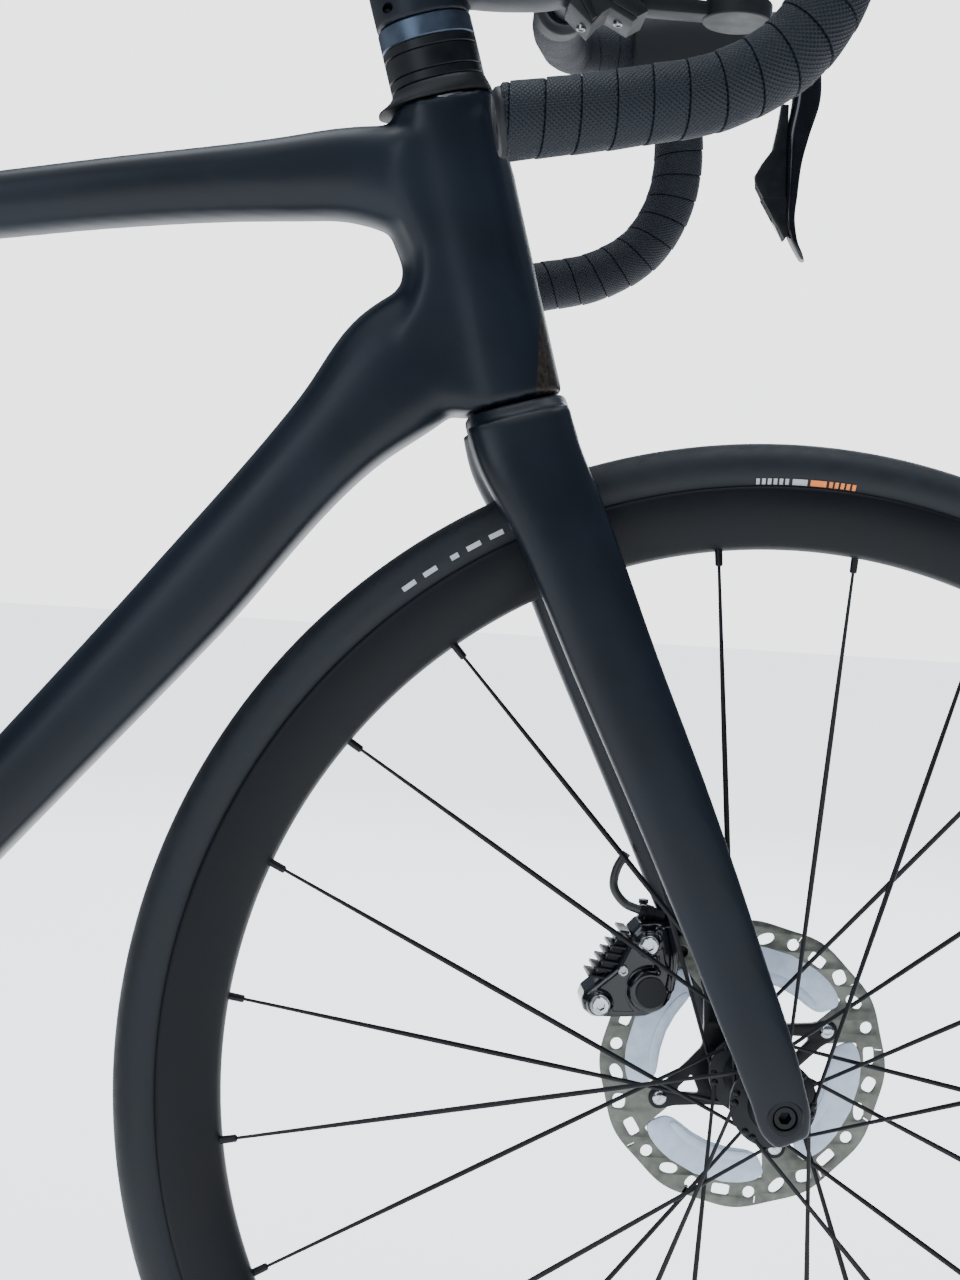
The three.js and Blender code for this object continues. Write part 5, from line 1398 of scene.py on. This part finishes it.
for number, x in enumerate((-930, -876)):
    piece(f"rear_caliper_bolt_{number}", bolt(at(x, 34 - 10 * number, 39.9), (0, -1, 0), 4.4, 3, 2.1),
          polished_steel, "frame")
rear_fins = [cutout([on_plane([(-926 + 5.4 * k, 43), (-924.6 + 5.4 * k, 43),
                               (-924.6 + 5.4 * k, 52 - abs(k - 3)),
                               (-926 + 5.4 * k, 52 - abs(k - 3))])], 42, 64, 0.25) for k in range(7)]
piece("rear_pad_fins", merge(*rear_fins), satin_black, "frame")

# ---------------------------------------------------------------- chain and its wheels
CHAIN_Y, PITCH = -47, 12.7
COGS = (11, 12, 13, 14, 15, 16, 17, 19, 21, 24, 27, 30)


def pitch_radius(teeth):
    """The radius on which the chain rollers sit round a wheel with so many teeth."""
    return PITCH / (2 * math.sin(math.pi / teeth))


def toothed(teeth, low, high, phase=0.0, holes=(), sag=0.0):
    """A chain wheel: a round hollow for each roller, with narrow teeth between them."""
    r = pitch_radius(teeth) - sag
    rim = []
    for k in range(teeth):
        a = phase + 2 * math.pi * k / teeth
        out, beside = np.array([math.cos(a), math.sin(a)]), np.array([-math.sin(a), math.cos(a)])
        for t in (-78, -39, 0, 39, 78):
            t = math.radians(t)
            rim.append(tuple(out * (r - 4.05 * math.cos(t)) + beside * 4.05 * math.sin(t)))
        for s in (-0.16, 0.16):
            b = a + (0.5 + s) * 2 * math.pi / teeth
            rim.append(((r + 3.4) * math.cos(b), (r + 3.4) * math.sin(b)))
    return cutout([rim, *holes], low, high, 0.25)


def circle(radius, x=0.0, z=0.0, count=48):
    """A round outline in the plane of the wheels."""
    t = np.arange(count) * 2 * math.pi / count
    return list(zip(x + radius * np.cos(t), z + radius * np.sin(t)))


def slots(count, inner, outer, share, first=0.0):
    """Openings between the arms of a chain wheel."""
    made = []
    for k in range(count):
        mid = first + 2 * math.pi * k / count
        half = math.pi / count * share
        t = np.arange(28) * 2 * math.pi / 28
        u = np.sign(np.cos(t)) * np.abs(np.cos(t)) ** 0.45
        v = np.sign(np.sin(t)) * np.abs(np.sin(t)) ** 0.45
        r, a = (inner + outer) / 2 + (outer - inner) / 2 * v, mid + half * u
        made.append(list(zip(r * np.cos(a), r * np.sin(a))))
    return made


UPPER_JOCKEY, LOWER_JOCKEY = PIN["jockey_upper_spin"], PIN["jockey_lower_spin"]
BELT = ((BRACKET, 52, 1), (LOWER_JOCKEY, 11, 1), (UPPER_JOCKEY, 11, -1), (REAR_AXLE, 16, 1))


def leave_angle(here, there):
    """The angle at which the chain leaves one wheel for the next."""
    x, _, z = there[0] - here[0]
    spread = here[2] * pitch_radius(here[1]) - there[2] * pitch_radius(there[1])
    return math.atan2(z, x) + math.acos(spread / math.hypot(x, z))


line, phases, run = [], [], 0.0
for k, (centre, teeth, turn_way) in enumerate(BELT):
    start = leave_angle(BELT[k - 1], BELT[k])
    sweep = start - leave_angle(BELT[k], BELT[(k + 1) % 4])
    sweep = turn_way * ((turn_way * sweep) % (2 * math.pi))
    r = pitch_radius(teeth)
    count = max(3, math.ceil(abs(sweep) * r / 1.5))
    for i in range(count + 1):
        a = start - sweep * i / count
        spot = centre * [1, 0, 1] + turn_way * r * np.array([math.cos(a), 0, math.sin(a)]) + [0,
                                                                                              CHAIN_Y, 0]
        if line:
            run += np.linalg.norm(spot - line[-1]) if i == 0 else 0
            run += abs(sweep) * r / count if i else 0
        line.append(spot)
        if i == 0:
            phases.append((start, run, turn_way, r))
run += np.linalg.norm(line[0] - line[-1])
LINKS = 2 * round(run / PITCH / 2)
STEP = run / LINKS


def phase_of(number):
    """The angle of a roller on one of the belt's wheels."""
    start, gone, turn_way, r = phases[number]
    to_next = (-gone) % STEP
    angle = start - turn_way * to_next / r
    return angle + (math.pi if turn_way < 0 else 0)


def link_plate(y, thick, end, waist):
    """One side plate of a chain link, narrower at the waist."""
    edge = [(6.35 + end * math.cos(t), end * math.sin(t)) for t in np.radians([-75, -38, 0, 38, 75])]
    edge += [(0, waist)] + [(-x, z) for x, z in edge[::-1]] + [(0, -waist)]
    rings = [np.array([[x, y + s * thick / 2, z] for x, z in edge]) for s in (-1, 1)]
    return loft(rings)


def pin_at(x, radius, half, sides=10):
    """A pin across the chain."""
    return disc(radius, -half, half, (x, 0, 0), edge=0.15, segments=sides)


outer_link = merge(*[link_plate(s * 2.25, 0.7, 4.2, 3.0) for s in (1, -1)],
                   *[pin_at(s * 6.35, 1.7, 2.85) for s in (1, -1)])
inner_link = merge(*[link_plate(s * 1.5, 0.7, 4.2, 3.2) for s in (1, -1)],
                   *[pin_at(s * 6.35, 3.85, 1.15, 12) for s in (1, -1)])
outer_links = along(line, outer_link, 2 * LINKS, plated_steel, every=4, first=1, closed=True)
inner_links = along(line, inner_link, 2 * LINKS, plated_steel, every=4, first=3, closed=True)
piece("chain_outer_links", outer_links, plated_steel, "frame", ("chain",), 40)
piece("chain_inner_links", inner_links, ground_alloy, "frame", crease=40)

cogs = []
for k, teeth in enumerate(COGS):
    y = CHAIN_Y + 3.6 * (k - 5)
    r = pitch_radius(teeth)
    holes = [circle(15.7)]
    if teeth >= 21:
        holes += slots(6, 21.5, r - 8.5, 0.62, 0.1 * k)
    phase = phase_of(3) if teeth == 16 else 0.31 * k
    cogs.append(toothed(teeth, y - 0.85, y + 0.85, phase, holes, 0.3 if teeth == 16 else 0))
    if k:
        cogs.append(disc(17.6, y - 2.9, y - 0.7, bore=15.7))
piece("cassette", moved(merge(*cogs), REAR_AXLE), ground_alloy, "cassette_body", ("cassette",),
      40)
lock = spun([[11.5, -69.4], [17.2, -69.4], [17.8, -68.8], [17.8, -67.0], [11.5, -67.0]], REAR_AXLE,
            segments=48)
lock_teeth = around(disc(1.2, -71, -67.6, centre=(12.6, 0, 0), segments=10), 12, material=satin_black)
piece("cassette_lockring", drilled(lock, moved(lock_teeth, REAR_AXLE)), satin_black, "cassette_body")

# ---------------------------------------------------------------- crankset and pedals
arms = [math.radians(45 + 90 * k) for k in range(4)]
inner_edge = []
for a in np.radians(np.arange(0, 360, 3)):
    near = min(abs((a - b + math.pi) % (2 * math.pi) - math.pi) for b in arms)
    inner_edge.append((74 - 23 * math.exp(-((near / 0.16) ** 4))) * np.array([math.cos(a), math.sin(a)]))
inner_edge = [tuple(p) for p in inner_edge]
mounts = [circle(4.2, 57 * math.cos(a), 57 * math.sin(a), 20) for a in arms]
large = toothed(52, CHAIN_Y - 1.1, CHAIN_Y + 1.1, phase_of(0), [inner_edge] + mounts, 0.3)
small_edge = [(x * 0.86, z * 0.86) if math.hypot(x, z) > 60 else (x, z) for x, z in inner_edge]
small = toothed(36, CHAIN_Y + 5.3, CHAIN_Y + 7.3, 0.1, [small_edge] + mounts)
piece("chainring_large", moved(large, BRACKET), satin_black, "crankset", ("chainring_large",),
      40)
piece("chainring_small", moved(small, BRACKET), ground_alloy, "crankset", ("chainring_small",),
      40)


CRANK_LENGTH = 172.5  # axle centre to pedal centre


def crank_arm(side, way):
    """A crank arm out from the axle: side is left or right, way is ahead or back."""
    rows = [(-22, 68, 20, 10), (-14, 68, 35, 13), (0, 68, 40, 14), (14, 68, 38, 14), (52, 68.6, 28, 13),
            (152, 70, 24, 12), (CRANK_LENGTH, 70, 27, 12), (184, 70, 18, 10)]
    return tube([(BRACKET + [way * x, side * y, 0], 90, height, width) for x, y, height, width in rows],
                60, 3.0, 32)


spider = [crank_arm(-1, 1), disc(21, -74, -46, BRACKET, edge=2.5)]
for a in arms:
    tip, root = (BRACKET + [r * math.cos(a), y, r * math.sin(a)] for r,
                 y in ((62, CHAIN_Y + 3.3), (8, CHAIN_Y - 8)))
    spider.append(rod([root, (root + tip) / 2 + [0, 2, 0], tip], [13, 10, 8.2], 16, 20, 0.5))
crank = fused(*spider, voxel=1.2, smooth=5,
              rooms=(disc(95, CHAIN_Y - 1.5, CHAIN_Y + 1.5, BRACKET, bore=49.5),))
crank = drilled(crank, disc(7.6, -100, -60, BRACKET + [CRANK_LENGTH, 0, 0]),
                disc(9, -80, -70, BRACKET, segments=40))
piece("crank_right", crank, gloss_black, "crankset", ("crank_right",), 50)
piece("crank_axle", disc(12, -60, 72, BRACKET, edge=1, bore=9), ground_alloy, "crankset")
left = fused(crank_arm(1, -1), disc(18, 61, 75.5, BRACKET, edge=2), voxel=1.2, smooth=5)
left = drilled(left, disc(12.2, 50, 90, BRACKET), disc(7.6, 40, 100, BRACKET - [CRANK_LENGTH, 0, 0]))
piece("crank_left", left, gloss_black, "crankset", ("crank_left",), 50)
piece("preload_cap",
      spun([[0, 74.4], [10.4, 74.4], [10.4, 75.4], [9.8, 76], [5, 76], [4.4, 75], [0, 75]], BRACKET,
           segments=48),
      moulded_black, "crankset")
piece("crank_cap", spun([[0, -73], [8.9, -73], [8.9, -71.5], [0, -71.5]], BRACKET, segments=40),
      moulded_black, "crankset")
for number in (0, 1):
    pinch_bolt = bolt(BRACKET + [4 - 12 * number, 68.4, -19.2], (0, 0, -1), 2.9, 2.6, 1.6, 24)
    piece(f"pinch_bolt_{number}", pinch_bolt, plated_steel, "crankset")
ring_bolts = [bolt(BRACKET + [57 * math.cos(a), CHAIN_Y - 1, 57 * math.sin(a)], (0, -1, 0), 4.6, 1.8,
                   2.4, 24) for a in arms]
piece("chainring_bolts", merge(*ring_bolts), plated_steel, "crankset")


def laid(shell):
    """Turns a plate from upright to flat."""
    return shell[0][:, [0, 2, 1]], shell[1]


for name, side, way in (("right", -1, 1), ("left", 1, -1)):
    centre = BRACKET + [CRANK_LENGTH * way, 0, 0]
    rider = f"pedal_{name}_body"
    cage = [(-16, 85), (-29, 92), (-31, 98), (-31, 124), (-26, 131), (-20, 137), (20, 137), (26, 131),
            (31, 124),
            (31, 98), (29, 92), (16, 85)]
    windows = [[(s * 11, 95), (s * 22, 97), (s * 25, 101), (s * 25, 122), (s * 20, 127), (s * 11, 128)]
               for s in (1, -1)]
    frame_plate = laid(cutout([[(x, side * y) for x, y in outline] for outline in [cage, *windows]],
                              -6.5, 6.5, 2.0))
    core = spun([[0, side * 84], [9, side * 84], [10, side * 85.5], [10, side * 130], [8, side * 137.4],
                 [0, side * 138]],
                  segments=40)
    pads = [laid(cutout([[(s * 13, side * 100), (s * 22, side * 100), (s * 22, side * 122),
                          (s * 13, side * 122)]], z - 1.5,
                        z + 1.5, 0.6)) for s in (1, -1) for z in (7.5, -7.5)]
    piece("pedal_" + name, moved(merge(frame_plate, core), centre), satin_black, rider,
          ("pedal_" + name,))
    piece("pedal_grip_" + name, moved(merge(*pads), centre), ground_alloy, rider)
    axle = spun([[0, side * 62], [3.8, side * 62], [4, side * 62.6], [4, side * 64], [7.1, side * 64.4],
                 [7.1, side * 76],
                 [8.8, side * 76.6], [8.8, side * 79], [5.5, side * 80], [5.5, side * 86],
                 [0, side * 86]], centre, segments=32)
    piece("pedal_axle_" + name, axle, plated_steel, rider)

# ---------------------------------------------------------------- derailleurs
TOP, END, SWING = PIN["derailleur_shift"], PIN["derailleur_level"], AXIS["derailleur_shift"]
bolt_at = HANGER_BOLT
mount_body = fused(disc(9.4, -99, -80.8, bolt_at, edge=1.2),
                   spun([[0, 5.4], [6.4, 5.4], [6.4, 12], [0, 12]], TOP, SWING, 32),
                   rod([at(-999.5, -28, -91), TOP + SWING * 8.6], [8, 6.2], 8, 24), voxel=0.8, smooth=4)
mount_body = drilled(mount_body, spun([[0, -7], [7.6, -7], [7.6, 5.3], [0, 5.3]], TOP, SWING, 32))
piece("derailleur_mount", mount_body, gloss_black, "frame", ("derailleur_mount",), 50)
piece("derailleur_mount_bolt", bolt(bolt_at + [0, -98, 0], (0, -1, 0), 6.2, 3.2, 2.6), plated_steel,
      "frame")
link = merge(
    spun([[0, -4.6], [6, -4.6], [6.2, -4.2], [6.2, 4.2], [6, 4.6], [0, 4.6]], TOP, SWING, 32),
    spun([[0, -4.6], [6, -4.6], [6.2, -4.2], [6.2, 4.2], [6, 4.6], [0, 4.6]], END, SWING, 32),
    rod([TOP, (TOP + END) / 2, END], [5.4, 6.2, 5.4], 14, 24, 0.72),
)
piece("derailleur_link", fused(link, voxel=0.6, smooth=3), gloss_black, "link_body",
      ("derailleur_link",), 50)
piece("link_pins",
      merge(*[spun([[0, -5.1], [2.4, -5.1], [2.8, -4.7], [2.8, 4.7], [2.4, 5.1], [0, 5.1]], p, SWING, 20)
                           for p in (TOP, END)]), plated_steel, "link_body")
eye = END - SWING * 8.8
knuckle = fused(disc(12.2, -96, -54.4, UPPER_JOCKEY * [1, 0, 1], edge=1.6),
                spun([[0, -12], [6.3, -12], [6.3, -5.3], [0, -5.3]], END, SWING, 32),
                rod([eye, (eye + UPPER_JOCKEY * [1, 0, 1] + [0, -90, 0]) / 2 + [3, -1, 0],
                     UPPER_JOCKEY * [1, 0, 1] + [0, -88, 0]],
                    [5.8, 7, 8], 12, 24), voxel=0.8, smooth=4)
knuckle = drilled(knuckle, spun([[0, -5.2], [8, -5.2], [8, 6], [0, 6]], END, SWING, 32))
piece("derailleur_knuckle", knuckle, gloss_black, "knuckle_body", ("derailleur_knuckle",),
      50)
piece("knuckle_cap",
      spun([[0, -97.4], [6, -97.4], [8.6, -96.6], [9, -95.6], [0, -95.6]], UPPER_JOCKEY * [1, 0, 1],
           segments=40),
      satin_black, "knuckle_body", crease=50)

u, l = UPPER_JOCKEY[[0, 2]], LOWER_JOCKEY[[0, 2]]
edge = [(u[0] - 11, u[1] + 3), (u[0] - 8, u[1] + 8.5), (u[0] - 2, u[1] + 11), (u[0] + 5, u[1] + 10),
        (u[0] + 9.5, u[1] + 6),
        (u[0] + 13, u[1] - 12), (l[0] + 4, l[1] + 26), (l[0] + 11, l[1] + 2), (l[0] + 10.5, l[1] - 4),
        (l[0] + 6, l[1] - 9.5),
        (l[0] - 1, l[1] - 11), (l[0] - 7, l[1] - 8.5), (l[0] - 10, l[1] - 3), (l[0] - 13, l[1] + 16),
        (u[0] - 7, u[1] - 20)]
window = [(u[0] + 0, u[1] - 10), (u[0] + 7, u[1] - 13), (l[0] - 2, l[1] + 24), (l[0] - 1, l[1] + 12),
          (l[0] - 7, l[1] + 16)]
cage = merge(cutout([edge, window], -53.8, -51.8, 0.4), cutout([edge, window], -42.2, -40.2, 0.4))
pins = merge(*[disc(2.4, -53, -41, c * [1, 0, 1], segments=20) for c in (UPPER_JOCKEY, LOWER_JOCKEY)])
piece("derailleur_cage", cage, satin_black, "cage_body", ("derailleur_cage",))
piece("jockey_pins", pins, plated_steel, "cage_body")
piece("jockey_bolt", bolt(LOWER_JOCKEY * [1, 0, 1] + [0, -53.6, 0], (0, -1, 0), 3.4, 2.0, 1.6, 24),
      plated_steel, "cage_body")
for name, centre, number in (("upper", UPPER_JOCKEY, 2), ("lower", LOWER_JOCKEY, 1)):
    holes = [circle(2.55, count=24)] + [circle(2.3, 9.4 * math.cos(t), 9.4 * math.sin(t), 16)
                                        for t in np.radians(np.arange(0, 360, 60))]
    wheel_shell = merge(toothed(11, CHAIN_Y - 0.95, CHAIN_Y + 0.95, phase_of(number), holes, 0.4),
                        disc(6, CHAIN_Y - 3, CHAIN_Y + 3, bore=2.55, segments=32))
    piece("jockey_" + name, moved(wheel_shell, centre * [1, 0, 1]), moulded_black, f"jockey_{name}_body",
          ("jockey_" + name,))


def ring_arc(radius, first, last, count=12):
    """An arc of the chain cage, concentric with the chain wheels."""
    return [(BRACKET[0] + radius * math.cos(t), BRACKET[2] + radius * math.sin(t))
            for t in np.radians(np.linspace(first, last, count))]


reach = pitch_radius(52) + 6
side_plate = ring_arc(reach, 88, 118) + ring_arc(reach + 20, 116, 88)
bridge = ring_arc(reach + 16.4, 90, 116) + ring_arc(reach + 20, 115, 90)
arm = on_plane([(-640, 46), (-622, 42), (-622, 66), (-640, 66)])
arm_solid = drilled(cutout([arm], CHAIN_Y - 1, CHAIN_Y + 6, 1.0),
                    moved(spun([[reach - 40, -60], [reach + 16.3, -60], [reach + 16.3, -35],
                                [reach - 40, -35]],
                               segments=160), BRACKET * [1, 0, 1]))
piece("front_derailleur_cage", merge(cutout([side_plate], CHAIN_Y - 7.6, CHAIN_Y - 6.2, 0.4),
                                     cutout([side_plate], CHAIN_Y + 4.6, CHAIN_Y + 6, 0.4),
                                     cutout([bridge], CHAIN_Y - 7, CHAIN_Y + 5.4, 0.6), arm_solid),
      satin_black, "front_cage_body", ("front_derailleur_cage",))
motor = cutout([on_plane([(-646, 60), (-643, 58), (-612, 58), (-606, 64), (-608, 84), (-613, 88),
                          (-640, 88), (-648, 82)])],
               -38.4, -12, 3.0)
seat_room = tube([(on_seat_tube(-62), SEAT_LEAN, 43, 49), (on_seat_tube(20), SEAT_LEAN, 35, 36),
                  (on_seat_tube(SEAT_TOP - 130), SEAT_LEAN, 37, 29)], 30, 2.6, 40)
piece("front_derailleur", drilled(motor, seat_room), gloss_black, "frame", ("front_derailleur",),
      40)
piece("front_derailleur_bolt", bolt(at(-622, 73, -38), (0, -1, 0), 3.4, 2, 1.8, 24), plated_steel,
      "frame")

# ---------------------------------------------------------------- seatpost and saddle
post = tube([(on_seat_tube(SEAT_TOP - 90), SEAT_LEAN, 30, 20),
             (on_seat_tube(SEAT_TOP + 40), SEAT_LEAN, 30, 20),
             (on_seat_tube(CLAMP_Z - 46), SEAT_LEAN, 30, 20.5), (on_seat_tube(CLAMP_Z - 24), 8, 32, 28),
             (on_seat_tube(CLAMP_Z - 9.2), 0, 36, 36)], 60, 2.6, 40)
piece("seatpost", post, carbon, "frame", ("seatpost",), 50)
collar = tube([(on_seat_tube(SEAT_TOP - 0.4), SEAT_LEAN, 37, 28),
               (on_seat_tube(SEAT_TOP + 2.4), SEAT_LEAN, 34, 24.5)], 4, 2.6, 40)
piece("seat_collar", drilled(collar, tube([(on_seat_tube(SEAT_TOP - 20), SEAT_LEAN, 30.4, 20.4),
                                           (on_seat_tube(SEAT_TOP + 20), SEAT_LEAN, 30.4, 20.4)], 4,
                                           2.6, 40)),
      moulded_black, "frame")
STATIONS = [(130, -4, 14), (124, -1, 32), (90, 1, 42), (30, -1, 56), (-30, -1, 92), (-80, 2, 132),
            (-112, 4, 138), (-132, 3, 104)]
SEAT = on_seat_tube(CLAMP_Z)


def saddle_loft(top, thick, narrow, steps, power, crown=0.0):
    """The saddle as cuts from nose to tail, from a height down through a thickness."""
    rows = flow([(x, rise, width) for x, rise, width in STATIONS], steps)
    rings = []
    for x, rise, width in rows:
        share = 1.0 if -124 < x < 118 else (0.86 if -129 < x < 125 else 0.6)
        centre = np.array([SEAT[0] + x * narrow, 0, FRONT_AXLE[2] + top + rise - thick / 2])
        points = ring(centre, Y * width / 2 * narrow, np.array([0, 0, thick / 2 * share]), power, 56)
        across = (points[:, 1] - centre[1]) / (width / 2 * narrow + 1e-9)
        points[:, 2] -= crown * across**2 * (points[:, 2] > centre[2] - thick)
        rings.append(points)
    return loft(rings)


pad_shell = fused(saddle_loft(SADDLE_TOP - 4.0, 24.4, 0.99, 70, 2.8, 3.0), voxel=3.0, smooth=6)
pad = piece("saddle_pad", pad_shell, saddle_cover, "frame", ("saddle_pad",), 60)
base = fused(saddle_loft(SADDLE_TOP - 27.9, 7.6, 0.94, 60, 3.0), voxel=2.0, smooth=4)
piece("saddle_base", base, gloss_black, "frame", ("saddle_base",), 50)
UNDER = SADDLE_TOP - 32.5
for name, side in SIDES.items():
    path = [(104, UNDER), (82, CLAMP_Z + 9), (50, CLAMP_Z), (-40, CLAMP_Z), (-72, CLAMP_Z + 8),
            (-100, UNDER + 3)]
    path = [np.array([SEAT[0] + x, side * 16.5, FRONT_AXLE[2] + z]) for x, z in path]
    piece("saddle_rail_" + name, rod(path, 3.5, 80, 20), polished_steel, "frame")
clamp_centre = np.array([SEAT[0], 0, FRONT_AXLE[2] + CLAMP_Z])
clamp_edge = [(x + SEAT[0], z + clamp_centre[2]) for x,
              z in ((-21, -8), (21, -8), (22, -5), (21, 6), (17, 7), (-17, 7), (-21, 6), (-22, -5))]
rails_room = [disc(3.65, -60, 60, clamp_centre + [0, side * 16.5, 0], (1, 0, 0), segments=24)
              for side in (1, -1)]
piece("saddle_clamp", drilled(cutout([clamp_edge], -26, 26, 1.4), *rails_room), satin_black, "frame",
      ("saddle_clamp",))
for number, x in enumerate((-14, 14)):
    piece(f"saddle_bolt_{number}", bolt(clamp_centre + [x, 0, 6.4], (0, 0, 1), 4.2, 3.4, 2.0),
          plated_steel, "frame")
